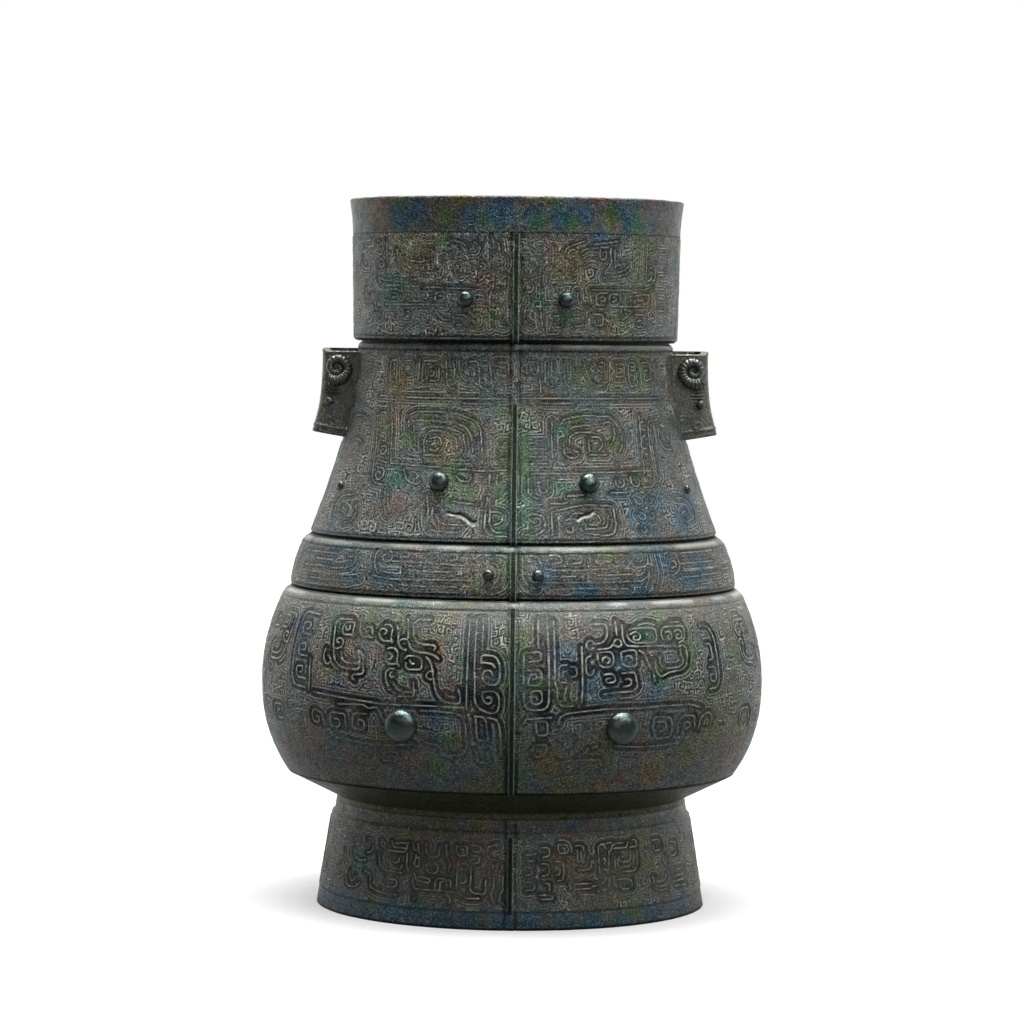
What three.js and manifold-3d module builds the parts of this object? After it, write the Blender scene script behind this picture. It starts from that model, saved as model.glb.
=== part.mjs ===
// A bronze ritual wine vessel of the hu type: an oval body in cast registers on a spreading foot ring,
// with a tubular lug on each narrow side, low flanges on the mould seams and round bosses as eyes.
// Units are millimetres, +Z is up, the front faces -Y, and the origin is under the centre of the foot.
import * as THREE from "three";
import { mergeVertices } from "three/addons/utils/BufferGeometryUtils.js";
import Module from "manifold-3d";

const wasm = await Module();
wasm.setup();

// Driving dimensions
const SEGMENTS = 48; // facets around the oval
const DEPTH_TO_WIDTH = 0.8; // the oval's depth over its width
const WALL = 4; // casting thickness of the body
const GAP = 0.3; // clearance between a cast-on piece and what it sits on

const FOOT_HEIGHT = 60;
const FOOT_WALL = 5;
const FOOT_REST_HALF_WIDTH = 110.7;
const FOOT_TOP_HALF_WIDTH = 99.6;
const FOOT_COLLAR_HEIGHT = 8; // the plain band under the belly
const FOOT_STEP = 1.4; // how far the decorated band stands out from the collar
const FOOT_HEM_HEIGHT = 9.5; // the plain band along the floor

const UNDERSIDE_HEIGHT = 16.5;
const FLOOR_THICKNESS = 5;
const FLOOR_HALF_WIDTH = 82; // the flat part of the cavity's floor
const UNDERSIDE_BEND_HEIGHT = 0.42; // share of the underside's height where its slope changes
const UNDERSIDE_BULGE = 0.55; // share of the way out that the underside has gone there
const CAVITY_BULGE = 0.62; // the same for the cavity's floor

const BELLY_HEIGHT = 105;
const BELLY_BOTTOM_HALF_WIDTH = 127.5;
const BELLY_WIDEST_HALF_WIDTH = 142.5;
const BELLY_WIDEST_HEIGHT = 51.5; // above the belly's lower edge
const BELLY_TOP_HALF_WIDTH = 128.6;
const BELLY_LOWER_BEND = 2.35; // power of the curve under the widest line, higher is flatter
const BELLY_UPPER_BEND = 2; // power of the curve over it

const SHOULDER_HEIGHT = 29.5;
const SHOULDER_STEP = 2.2; // how far the shoulder starts inside the belly's upper edge
const SHOULDER_DRAW_IN = 8.8; // how much narrower it ends than it starts
const SHOULDER_BEND = 1.8; // power of its curve
const SHOULDER_BOTTOM_HALF_WIDTH = BELLY_TOP_HALF_WIDTH - SHOULDER_STEP;
const SHOULDER_TOP_HALF_WIDTH = SHOULDER_BOTTOM_HALF_WIDTH - SHOULDER_DRAW_IN;

const NECK_HEIGHT = 109.5;
const NECK_STEP = 1.8; // how far the neck starts inside the shoulder's upper edge
const NECK_WAIST_HALF_WIDTH = 89.4;
const NECK_LEAN = 0.56; // share of the way in that the neck's lower tangent reaches
const NECK_LEAN_HEIGHT = 0.365; // share of its height that this tangent reaches
const NECK_UPRIGHT_HEIGHT = 0.66; // share of its height where the upper tangent starts
const NECK_BOTTOM_HALF_WIDTH = SHOULDER_TOP_HALF_WIDTH - NECK_STEP;

const MOUTH_HEIGHT = 60;
const MOUTH_STEP = 2.1; // how far the mouth stands out over the neck's waist
const MOUTH_SPREAD = 1.1; // how much wider it ends than it starts
const MOUTH_BOTTOM_HALF_WIDTH = NECK_WAIST_HALF_WIDTH + MOUTH_STEP;
const RIM_HEIGHT = 19.5;
const RIM_BOTTOM_HALF_WIDTH = MOUTH_BOTTOM_HALF_WIDTH + MOUTH_SPREAD;
const RIM_BEND = 1.6; // power of the rim's curve out to the lip
const LIP_SPREAD = 2; // how much wider the lip is than the rim's lower edge
const LIP_HALF_WIDTH = RIM_BOTTOM_HALF_WIDTH + LIP_SPREAD;
const LIP_ROUND = 1.2;

const GROOVE_DEPTH = 2; // how far a register's edge draws in at the groove above it
const UPPER_EDGE_ROUND = 3.2; // height of the rounded edge under a groove
const LOWER_EDGE_ROUND = 0.8; // height and depth of the small round over a groove
const EDGE_LEVEL = 0.35; // share of the upper round's height that gets a level of its own
const SHARP_STEP = 0.01; // height over which the foot's collar steps in

const FLANGE_WIDTH = 2.8;
const FLANGE_PROJECTION = 1.8;
const SIDE_FLANGE_PROJECTION = 0.9;
const FLANGE_ROOT = 3; // how deep a flange's blank reaches before the wall cuts it
const FLANGE_END_MARGIN = 2.4; // plain wall left at an end that stops short of a groove
const FLANGE_START = 1; // from a register's lower edge up to its flange
const MOUTH_FLANGE_MARGIN = 0.5; // the same at both ends of the mouth's flange
const NECK_FLANGE_HEIGHT = 80; // the neck's front flange stops under the small upper frieze

const LUG_HEIGHT = 50;
const LUG_TOP_BELOW_MOUTH = 4.5; // distance from the lug's top down to the mouth register
const LUG_HALF_DEPTH = 13;
const LUG_OUT_FROM_NECK = 19.8; // from the neck's waist out to the lug's outer face at the top
const LUG_FLARE = 5.8; // how much further out the lower lip stands
const LUG_FLARE_POWER = 2.5;
const LUG_SQUARENESS = 0.5; // power of cosine and sine in the lug's outline, 1 is an ellipse
const LUG_OUTER_WALL = 4.2;
const LUG_SIDE_WALL = 3;
const LUG_LEVELS = 5;
const LUG_SIDES = 20;

const HORN_OUTER_RADIUS = 6.6; // from the coil's centre to the middle of the thick end
const HORN_INNER_RADIUS = 1.6;
const HORN_THICK_RADIUS = 2.3;
const HORN_THIN_RADIUS = 1.3;
const HORN_TURNS = 1.45;
const HORN_STEPS = 22;
const HORN_SIDES = 6;
const HORN_START_ANGLE = Math.PI * 0.2;
const HORN_OUT_FROM_WALL = 14; // from the neck's waist out to the coil's centre
const HORN_BELOW_LUG_TOP = 14.5;
const LUG_EYE = { radius: 2.3, height: 2.1, outFromWall: 16.5, belowTop: 31.5 };

// Eye bosses: distance from the centre line, or degrees around the oval from it, then the height above
// the register's lower edge, the radius and how far the boss stands out
const MOUTH_EYE = { across: 27.5, up: 23.5, radius: 4.5, height: 4.2 };
const NECK_EYE = { across: 40.8, up: 33.5, radius: 5.6, height: 4.6 };
const NECK_SIDE_EYE = { around: 66.3, up: 28.5, radius: 2.7, height: 2.2 };
const SHOULDER_EYE = { across: 13.4, up: 14, radius: 3.1, height: 3 };
const BELLY_EYE = { across: 59.6, up: 37.5, radius: 9.2, height: 6.2 };
const BOSS_SEGMENTS = 12;
const BOSS_RINGS = 6;
const PROBE = 0.5; // distance to the neighbouring points that give the wall's direction

// Heights of the registers' lower edges above the floor
const UNDERSIDE_Z = FOOT_HEIGHT;
const BELLY_Z = UNDERSIDE_Z + UNDERSIDE_HEIGHT;
const SHOULDER_Z = BELLY_Z + BELLY_HEIGHT;
const NECK_Z = SHOULDER_Z + SHOULDER_HEIGHT;
const MOUTH_Z = NECK_Z + NECK_HEIGHT;
const RIM_Z = MOUTH_Z + MOUTH_HEIGHT;

const lerp = THREE.MathUtils.lerp;

// How much a rounded edge draws in at a given distance from the end of the wall
function edgeRound(distance, height, depth) {
  if (distance >= height) return 0;
  const across = 1 - distance / height;
  return depth * (1 - Math.sqrt(1 - across * across));
}

// The half width of a register whose edges are rounded into the grooves beside it
function grooved(height, plain, lowerRound = LOWER_EDGE_ROUND) {
  return (up) =>
    plain(up) -
    edgeRound(height - up, UPPER_EDGE_ROUND, GROOVE_DEPTH) -
    edgeRound(up, lowerRound, lowerRound);
}

function footHalfWidth(up) {
  const slope = lerp(FOOT_REST_HALF_WIDTH, FOOT_TOP_HALF_WIDTH + FOOT_STEP, up / FOOT_HEIGHT);
  return up > FOOT_HEIGHT - FOOT_COLLAR_HEIGHT ? slope - FOOT_STEP : slope;
}

function bellyHalfWidth(up) {
  const below = up < BELLY_WIDEST_HEIGHT;
  const span = below ? BELLY_WIDEST_HEIGHT : BELLY_HEIGHT - BELLY_WIDEST_HEIGHT;
  const end = below ? BELLY_BOTTOM_HALF_WIDTH : BELLY_TOP_HALF_WIDTH;
  const bend = below ? BELLY_LOWER_BEND : BELLY_UPPER_BEND;
  return BELLY_WIDEST_HALF_WIDTH -
    (BELLY_WIDEST_HALF_WIDTH - end) * Math.pow(Math.abs(up - BELLY_WIDEST_HEIGHT) / span, bend);
}

function shoulderHalfWidth(up) {
  return SHOULDER_BOTTOM_HALF_WIDTH -
    SHOULDER_DRAW_IN * Math.pow(up / SHOULDER_HEIGHT, SHOULDER_BEND);
}

// The neck's outline: a Bezier curve that leaves the shoulder leaning in and ends upright at the waist
const neckCurve = new THREE.CubicBezierCurve(
  new THREE.Vector2(NECK_BOTTOM_HALF_WIDTH, 0),
  new THREE.Vector2(
    lerp(NECK_BOTTOM_HALF_WIDTH, NECK_WAIST_HALF_WIDTH, NECK_LEAN),
    NECK_HEIGHT * NECK_LEAN_HEIGHT,
  ),
  new THREE.Vector2(NECK_WAIST_HALF_WIDTH, NECK_HEIGHT * NECK_UPRIGHT_HEIGHT),
  new THREE.Vector2(NECK_WAIST_HALF_WIDTH, NECK_HEIGHT),
);
const NECK_SAMPLES = neckCurve.getPoints(60);

function neckHalfWidth(up) {
  const above = NECK_SAMPLES.findIndex((point) => point.y >= up);
  if (above < 1) return NECK_SAMPLES[0].x;
  const low = NECK_SAMPLES[above - 1];
  const high = NECK_SAMPLES[above];
  return lerp(low.x, high.x, (up - low.y) / (high.y - low.y));
}

const mouthHalfWidth = (up) =>
  lerp(MOUTH_BOTTOM_HALF_WIDTH, RIM_BOTTOM_HALF_WIDTH, up / MOUTH_HEIGHT);

const rimHalfWidth = (up) =>
  lerp(RIM_BOTTOM_HALF_WIDTH, LIP_HALF_WIDTH, Math.pow(up / RIM_HEIGHT, RIM_BEND)) -
  edgeRound(RIM_HEIGHT - up, LIP_ROUND, LIP_ROUND);

// The registers of the wall, from the floor up
const even = (from, to, steps) => Array.from({ length: steps + 1 }, (_, i) => lerp(from, to, i / steps));

function groovedLevels(height, steps) {
  return [
    0,
    ...even(LOWER_EDGE_ROUND, height - UPPER_EDGE_ROUND, steps),
    height - UPPER_EDGE_ROUND * EDGE_LEVEL,
    height,
  ];
}

const REGISTERS = {
  foot_ring: {
    z: 0,
    height: FOOT_HEIGHT,
    wall: FOOT_WALL,
    halfWidth: footHalfWidth,
    levels: [
      0,
      FOOT_HEM_HEIGHT,
      FOOT_HEIGHT * 0.5,
      FOOT_HEIGHT - FOOT_COLLAR_HEIGHT - SHARP_STEP,
      FOOT_HEIGHT - FOOT_COLLAR_HEIGHT + FOOT_STEP,
      FOOT_HEIGHT,
    ],
  },
  belly: {
    z: BELLY_Z,
    height: BELLY_HEIGHT,
    wall: WALL,
    halfWidth: grooved(BELLY_HEIGHT, bellyHalfWidth, 0),
    levels: groovedLevels(BELLY_HEIGHT, 8),
  },
  shoulder_band: {
    z: SHOULDER_Z,
    height: SHOULDER_HEIGHT,
    wall: WALL,
    halfWidth: grooved(SHOULDER_HEIGHT, shoulderHalfWidth),
    levels: groovedLevels(SHOULDER_HEIGHT, 3),
  },
  neck: {
    z: NECK_Z,
    height: NECK_HEIGHT,
    wall: WALL,
    halfWidth: grooved(NECK_HEIGHT, neckHalfWidth),
    levels: groovedLevels(NECK_HEIGHT, 7),
  },
  mouth_band: {
    z: MOUTH_Z,
    height: MOUTH_HEIGHT,
    wall: WALL,
    halfWidth: (up) => mouthHalfWidth(up) - edgeRound(up, LOWER_EDGE_ROUND, LOWER_EDGE_ROUND),
    levels: [0, LOWER_EDGE_ROUND, MOUTH_HEIGHT * 0.5, MOUTH_HEIGHT],
  },
  rim: {
    z: RIM_Z,
    height: RIM_HEIGHT,
    wall: WALL,
    halfWidth: rimHalfWidth,
    levels: [0, RIM_HEIGHT * 0.5, RIM_HEIGHT - LIP_ROUND, RIM_HEIGHT],
  },
};

// An oval ring of vertices: half width along X, half depth along Y
function oval(halfWidth, halfDepth, z) {
  return Array.from({ length: SEGMENTS }, (_, i) => {
    const angle = (2 * Math.PI * i) / SEGMENTS;
    return new THREE.Vector3(halfWidth * Math.cos(angle), halfDepth * Math.sin(angle), z);
  });
}

// A closed mesh from rings of equal length. Open ends are closed by a point at each ring's middle;
// a looped stack joins its last ring to its first instead.
function stack(rings, looped) {
  const count = rings[0].length;
  const points = rings.flat();
  const faces = [];
  const joins = looped ? rings.length : rings.length - 1;
  for (let r = 0; r < joins; r++) {
    const low = r * count;
    const high = ((r + 1) % rings.length) * count;
    for (let i = 0; i < count; i++) {
      const next = (i + 1) % count;
      faces.push(low + i, low + next, high + next, low + i, high + next, high + i);
    }
  }
  if (!looped) {
    const middle = (ring) =>
      ring.reduce((sum, point) => sum.add(point), new THREE.Vector3()).divideScalar(count);
    const last = (rings.length - 1) * count;
    const first = points.push(middle(rings[0])) - 1;
    const top = points.push(middle(rings[rings.length - 1])) - 1;
    for (let i = 0; i < count; i++) {
      const next = (i + 1) % count;
      faces.push(first, next, i, top, last + i, last + next);
    }
  }
  const geometry = new THREE.BufferGeometry();
  const flat = points.flatMap((point) => [point.x, point.y, point.z]);
  geometry.setAttribute("position", new THREE.Float32BufferAttribute(flat, 3));
  geometry.setIndex(faces);
  return geometry;
}

// The outer half width and half depth of a register at a height above its lower edge
function outer(register, up, grow = 0) {
  const halfWidth = register.halfWidth(up);
  return [halfWidth + grow, halfWidth * DEPTH_TO_WIDTH + grow];
}

// A wall ring: the outer face going up, then the inner face coming down, joined by flat ends
function wallRing(register) {
  const outside = register.levels.map((up) => {
    const [width, depth] = outer(register, up);
    return oval(width, depth, register.z + up);
  });
  const smooth = register.levels.filter((_, i, all) => i % 2 === 0 || i === all.length - 1);
  const inside = smooth.reverse().map((up) => {
    const [width, depth] = outer(register, up, -register.wall);
    return oval(width, depth, register.z + up);
  });
  return stack([...outside, ...inside], true);
}

// The bowl's underside with the cavity's floor: a closed dish between the foot ring and the belly
function undersideDish() {
  const bellyEdge = REGISTERS.belly.halfWidth(0);
  const rim = [bellyEdge, bellyEdge * DEPTH_TO_WIDTH];
  const footEdge = REGISTERS.foot_ring.halfWidth(FOOT_HEIGHT);
  const heel = [footEdge, footEdge * DEPTH_TO_WIDTH];
  const inside = [rim[0] - WALL, rim[1] - WALL];
  const floor = [FLOOR_HALF_WIDTH, FLOOR_HALF_WIDTH * DEPTH_TO_WIDTH];
  const floorZ = UNDERSIDE_Z + FLOOR_THICKNESS;
  const between = (from, to, share) => [lerp(from[0], to[0], share), lerp(from[1], to[1], share)];
  return stack(
    [
      oval(...heel, UNDERSIDE_Z),
      oval(...between(heel, rim, UNDERSIDE_BULGE), lerp(UNDERSIDE_Z, BELLY_Z, UNDERSIDE_BEND_HEIGHT)),
      oval(...rim, BELLY_Z),
      oval(...inside, BELLY_Z),
      oval(...between(floor, inside, CAVITY_BULGE), lerp(floorZ, BELLY_Z, UNDERSIDE_BEND_HEIGHT)),
      oval(...floor, floorZ),
    ],
    false,
  );
}

// Boolean work: a three.js mesh becomes a solid and back
function toSolid(geometry) {
  const bare = geometry.clone();
  bare.deleteAttribute("normal");
  bare.deleteAttribute("uv");
  const merged = mergeVertices(bare, 1e-4);
  return new wasm.Manifold(
    new wasm.Mesh({
      numProp: 3,
      vertProperties: new Float32Array(merged.attributes.position.array),
      triVerts: new Uint32Array(merged.index.array),
    }),
  );
}

function toGeometry(solid) {
  const mesh = solid.getMesh();
  const geometry = new THREE.BufferGeometry();
  geometry.setAttribute("position", new THREE.Float32BufferAttribute(mesh.vertProperties, 3));
  geometry.setIndex(Array.from(mesh.triVerts));
  return geometry;
}

// What a boolean leaves as one clean body: its largest piece
function largest(solid) {
  return solid.decompose().sort((a, b) => b.volume() - a.volume())[0];
}

// A register filled in and grown by the clearance: it cuts the seat of each piece cast onto the wall
function coreOf(register) {
  const rings = register.levels.map((up) => oval(...outer(register, up, GAP), register.z + up));
  return toSolid(stack(rings, false));
}

const cores = Object.fromEntries(
  Object.entries(REGISTERS).map(([name, register]) => [name, coreOf(register)]),
);

// The point of a register's outer face at a distance across and a height, with its outward direction
function wallPoint(register, across, up) {
  const at = (x, height) => {
    const [width, depth] = outer(register, height);
    return new THREE.Vector3(x, -depth * Math.sqrt(1 - (x / width) ** 2), register.z + height);
  };
  const alongX = at(across + PROBE, up).sub(at(across - PROBE, up));
  const alongZ = at(across, up + PROBE).sub(at(across, up - PROBE));
  return { point: at(across, up), normal: alongX.cross(alongZ).normalize() };
}

// A round boss standing on the wall
function boss(register, core, eye) {
  const onOval = () => register.halfWidth(eye.up) * Math.sin(THREE.MathUtils.degToRad(eye.around));
  const { point, normal } = wallPoint(register, eye.across ?? onOval(), eye.up);
  const dome = new THREE.SphereGeometry(1, BOSS_SEGMENTS, BOSS_RINGS);
  dome.scale(eye.radius, eye.height + GAP, eye.radius);
  dome.applyQuaternion(
    new THREE.Quaternion().setFromUnitVectors(new THREE.Vector3(0, 1, 0), normal),
  );
  dome.translate(point.x, point.y, point.z);
  return largest(toSolid(dome).subtract(core));
}

// A flange on the front: the register's outline pushed out, as a thin upright plate cut by the wall
function flange(register, core, from, to, halfReach, projection) {
  const heights = [from, ...register.levels.filter((up) => up > from && up < to), to];
  const outside = heights.map((up) => new THREE.Vector2(halfReach(up) + projection, up));
  const inside = heights.map((up) => new THREE.Vector2(halfReach(up) - FLANGE_ROOT, up)).reverse();
  const plate = new THREE.ExtrudeGeometry(new THREE.Shape([...outside, ...inside]), {
    depth: FLANGE_WIDTH,
    bevelEnabled: false,
  });
  plate.translate(0, register.z, -FLANGE_WIDTH / 2);
  plate.rotateX(Math.PI / 2);
  return (turn) => largest(toSolid(plate.clone().rotateZ(turn)).subtract(core));
}

// The lug: an upright tube whose outer face flares to its lower lip, cut to sit against the neck
const LUG_TOP_Z = MOUTH_Z - LUG_TOP_BELOW_MOUTH;
const LUG_BOTTOM_Z = LUG_TOP_Z - LUG_HEIGHT;
const LUG_CENTRE_X = NECK_WAIST_HALF_WIDTH;
const lugReach = (up) =>
  LUG_OUT_FROM_NECK + LUG_FLARE * Math.pow(1 - up / LUG_HEIGHT, LUG_FLARE_POWER);

function lugPrism(grow, outerWall, sideWall, overrun) {
  const rings = even(0, LUG_HEIGHT, LUG_LEVELS).map((up, level, all) => {
    const end = level === 0 ? -overrun : level === all.length - 1 ? overrun : 0;
    const reach = lugReach(up) - outerWall + grow;
    const side = LUG_HALF_DEPTH - sideWall + grow;
    return Array.from({ length: LUG_SIDES }, (_, i) => {
      const angle = (2 * Math.PI * i) / LUG_SIDES;
      const c = Math.cos(angle);
      const s = Math.sin(angle);
      return new THREE.Vector3(
        LUG_CENTRE_X + reach * Math.sign(c) * Math.pow(Math.abs(c), LUG_SQUARENESS),
        side * Math.sign(s) * Math.pow(Math.abs(s), LUG_SQUARENESS),
        LUG_BOTTOM_Z + up + end,
      );
    });
  });
  return toSolid(stack(rings, false));
}

const lugSolid = largest(
  lugPrism(0, 0, 0, 0)
    .subtract(lugPrism(0, LUG_OUTER_WALL, LUG_SIDE_WALL, 1))
    .subtract(cores.neck),
);
const lugCore = lugPrism(GAP, 0, 0, 0);

// The ram's horn on a lug's side: a tube that tapers as it coils, seated on the lug's face
function horn() {
  const centre = new THREE.Vector3(
    NECK_WAIST_HALF_WIDTH + HORN_OUT_FROM_WALL - HORN_THICK_RADIUS,
    -LUG_HALF_DEPTH,
    LUG_TOP_Z - HORN_BELOW_LUG_TOP,
  );
  const rings = even(0, 1, HORN_STEPS).map((along) => {
    const angle = HORN_START_ANGLE + along * HORN_TURNS * 2 * Math.PI;
    const radius = lerp(HORN_OUTER_RADIUS, HORN_INNER_RADIUS, along);
    const thick = lerp(HORN_THICK_RADIUS, HORN_THIN_RADIUS, along);
    const out = new THREE.Vector3(-Math.cos(angle), 0, Math.sin(angle));
    const middle = centre.clone().addScaledVector(out, radius);
    return Array.from({ length: HORN_SIDES }, (_, i) => {
      const around = (2 * Math.PI * i) / HORN_SIDES;
      return middle
        .clone()
        .addScaledVector(out, thick * Math.cos(around))
        .add(new THREE.Vector3(0, -thick * Math.sin(around), 0));
    });
  });
  return largest(toSolid(stack(rings, false)).subtract(lugCore));
}

function lugEye() {
  const dome = new THREE.SphereGeometry(1, BOSS_SEGMENTS, BOSS_RINGS);
  dome.scale(LUG_EYE.radius, LUG_EYE.height + GAP, LUG_EYE.radius);
  dome.translate(
    NECK_WAIST_HALF_WIDTH + LUG_EYE.outFromWall,
    -LUG_HALF_DEPTH,
    LUG_TOP_Z - LUG_EYE.belowTop,
  );
  return largest(toSolid(dome).subtract(lugCore));
}

// Materials: dark bronze with a green patina, the bosses and horns rubbed brighter
const patina = () => new THREE.MeshStandardMaterial({ color: 0x3f463c, roughness: 0.55, metalness: 0.5 });
const rubbed = () => new THREE.MeshStandardMaterial({ color: 0x5a5f55, roughness: 0.4, metalness: 0.7 });

const vase = new THREE.Group();

function addPiece(name, geometry, material) {
  const mesh = new THREE.Mesh(geometry, material);
  mesh.name = name;
  vase.add(mesh);
}

for (const [name, register] of Object.entries(REGISTERS)) {
  addPiece(name, wallRing(register), patina());
}
addPiece("bowl_floor", undersideDish(), patina());

// Front and back, left and right copies are mirrored solids
const SIDES = { front: 1, back: -1 };
const HANDS = { left: -1, right: 1 };

function addFourWays(name, solid, material) {
  for (const [hand, x] of Object.entries(HANDS)) {
    for (const [side, y] of Object.entries(SIDES)) {
      addPiece(`${hand}_${side}_${name}`, toGeometry(solid.scale([x, y, 1])), material());
    }
  }
}

addFourWays("mouth_eye", boss(REGISTERS.mouth_band, cores.mouth_band, MOUTH_EYE), rubbed);
addFourWays("neck_eye", boss(REGISTERS.neck, cores.neck, NECK_EYE), rubbed);
addFourWays("neck_side_eye", boss(REGISTERS.neck, cores.neck, NECK_SIDE_EYE), rubbed);
addFourWays("shoulder_eye", boss(REGISTERS.shoulder_band, cores.shoulder_band, SHOULDER_EYE), rubbed);
addFourWays("belly_eye", boss(REGISTERS.belly, cores.belly, BELLY_EYE), rubbed);
addFourWays("lug_horn", horn(), rubbed);
addFourWays("lug_eye", lugEye(), rubbed);

for (const [hand, x] of Object.entries(HANDS)) {
  addPiece(`${hand}_lug`, toGeometry(lugSolid.scale([x, 1, 1])), patina());
}

// Flanges: each register's run from its lower to its upper end, on the faces and on the narrow sides
const lugClear = LUG_BOTTOM_Z - NECK_Z - FLANGE_END_MARGIN;
const FLANGE_RUNS = {
  mouth_band: {
    name: "mouth",
    from: MOUTH_FLANGE_MARGIN,
    to: MOUTH_HEIGHT - MOUTH_FLANGE_MARGIN,
    sideTo: MOUTH_HEIGHT - MOUTH_FLANGE_MARGIN,
  },
  neck: { name: "neck", from: FLANGE_START, to: NECK_FLANGE_HEIGHT, sideTo: lugClear },
  shoulder_band: {
    name: "shoulder",
    from: FLANGE_START,
    to: SHOULDER_HEIGHT - UPPER_EDGE_ROUND,
    sideTo: SHOULDER_HEIGHT - UPPER_EDGE_ROUND,
  },
  belly: {
    name: "belly",
    from: FLANGE_START,
    to: BELLY_HEIGHT - UPPER_EDGE_ROUND,
    sideTo: BELLY_HEIGHT - UPPER_EDGE_ROUND,
  },
  foot_ring: {
    name: "foot",
    from: FOOT_HEM_HEIGHT,
    to: FOOT_HEIGHT - FOOT_COLLAR_HEIGHT - FLANGE_END_MARGIN,
    sideTo: FOOT_HEIGHT - FOOT_COLLAR_HEIGHT - FLANGE_END_MARGIN,
  },
};

for (const [key, run] of Object.entries(FLANGE_RUNS)) {
  const register = REGISTERS[key];
  const depthReach = (up) => outer(register, up)[1];
  const widthReach = (up) => outer(register, up)[0];
  const facing = flange(register, cores[key], run.from, run.to, depthReach, FLANGE_PROJECTION);
  const sided = flange(register, cores[key], run.from, run.sideTo, widthReach, SIDE_FLANGE_PROJECTION);
  addPiece(`front_${run.name}_flange`, toGeometry(facing(-Math.PI / 2)), patina());
  addPiece(`back_${run.name}_flange`, toGeometry(facing(Math.PI / 2)), patina());
  addPiece(`right_${run.name}_flange`, toGeometry(sided(0)), patina());
  addPiece(`left_${run.name}_flange`, toGeometry(sided(Math.PI)), patina());
}

export default vase;
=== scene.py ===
# %% [markdown]
# # A bronze hu in panels
#
# The object is an oval wine vessel of cast bronze: a plain rim, a mouth band, a tall neck with two
# tubular lugs, a narrow shoulder band, a full belly and a spreading foot. It was cast against clay
# mould pieces that met on four seams, and a low flange covers each seam. The decoration was carved
# and pressed into the clay, so every thread line and every spiral of the ground stands in the metal.
#
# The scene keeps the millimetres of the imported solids. It rebuilds each register as four panels, one
# to a mould piece, and draws the ornament on them as height.

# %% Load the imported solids
import math

import bpy
import numpy as np
from mathutils import Matrix, Vector


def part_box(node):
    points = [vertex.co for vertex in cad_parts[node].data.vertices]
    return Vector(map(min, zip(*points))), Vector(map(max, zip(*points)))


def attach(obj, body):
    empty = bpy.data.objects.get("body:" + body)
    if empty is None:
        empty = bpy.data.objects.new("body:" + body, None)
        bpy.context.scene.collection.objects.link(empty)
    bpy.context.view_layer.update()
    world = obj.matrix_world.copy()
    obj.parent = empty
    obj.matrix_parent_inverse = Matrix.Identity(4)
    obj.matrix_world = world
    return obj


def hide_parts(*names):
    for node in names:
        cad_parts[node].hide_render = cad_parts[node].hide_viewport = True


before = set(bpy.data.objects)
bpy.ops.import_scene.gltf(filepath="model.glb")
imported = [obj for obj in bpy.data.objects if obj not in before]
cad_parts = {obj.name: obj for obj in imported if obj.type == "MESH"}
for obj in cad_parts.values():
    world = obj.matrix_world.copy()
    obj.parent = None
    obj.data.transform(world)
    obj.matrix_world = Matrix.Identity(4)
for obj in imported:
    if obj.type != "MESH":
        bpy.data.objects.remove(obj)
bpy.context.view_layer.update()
MM = 0.001
print("solids loaded:", len(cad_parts))

# %% [markdown]
# ## Camera
#
# A long lens far away keeps the upright sides nearly parallel, as in a catalogue photograph. The lens
# stands a little below the rim, so neither the mouth nor the floor of the vessel shows.

# %% Camera
# metres
CAMERA_DISTANCE = 1.735
CAMERA_HEIGHT = 0.330
CAMERA_ASIDE = -0.001
CAMERA_PITCH = math.radians(3.51)
CAMERA_ROLL = math.radians(0.6)
# millimetres, as lenses are sold
LENS = 107.2
SENSOR_WIDTH = 36

lens = bpy.data.cameras.new("camera")
lens.lens = LENS
lens.sensor_width = SENSOR_WIDTH
camera = bpy.data.objects.new("camera", lens)
turn = Matrix.Rotation(math.pi / 2 - CAMERA_PITCH, 4, "X") @ Matrix.Rotation(CAMERA_ROLL, 4, "Z")
camera.matrix_world = Matrix.Translation((CAMERA_ASIDE, -CAMERA_DISTANCE, CAMERA_HEIGHT)) @ turn
bpy.context.scene.collection.objects.link(camera)
bpy.context.scene.camera = camera
bpy.context.scene.view_settings.view_transform = "Standard"
print("lens of", LENS, "mm at", CAMERA_DISTANCE, "m")

# %% [markdown]
# ## Node helpers
#
# A material is a small graph of nodes, and so is a Geometry Nodes tree. One helper makes a node and
# fills its sockets, by a link where the value is another socket. The others name the few nodes that
# are used again and again: a sum, a mix of two colours, a change of range and a noise.

# %% Node helpers
def add_node(tree, kind, sockets=None, **settings):
    node = tree.nodes.new(kind)
    for key, value in settings.items():
        setattr(node, key, value)
    for name, value in (sockets or {}).items():
        if isinstance(value, bpy.types.NodeSocket):
            tree.links.new(value, node.inputs[name])
        else:
            node.inputs[name].default_value = value
    return node


def mix_colours(tree, factor, low, high):
    sockets = {0: factor, 6: low, 7: high}
    return add_node(tree, "ShaderNodeMix", sockets, data_type="RGBA").outputs[2]


def calculate(tree, operation, *values):
    return add_node(tree, "ShaderNodeMath", dict(enumerate(values)), operation=operation).outputs[0]


def remap(tree, value, low, high, to_low=0.0, to_high=1.0):
    sockets = {"Value": value, "From Min": low, "From Max": high, "To Min": to_low, "To Max": to_high}
    return add_node(tree, "ShaderNodeMapRange", sockets).outputs[0]


def noise(tree, place, scale, detail=4.0, roughness=0.6):
    sockets = {"Vector": place, "Scale": scale, "Detail": detail, "Roughness": roughness}
    return add_node(tree, "ShaderNodeTexNoise", sockets).outputs[0]


def empty_tree(owner):
    owner.use_nodes = True
    owner.node_tree.nodes.clear()
    return owner.node_tree


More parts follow.
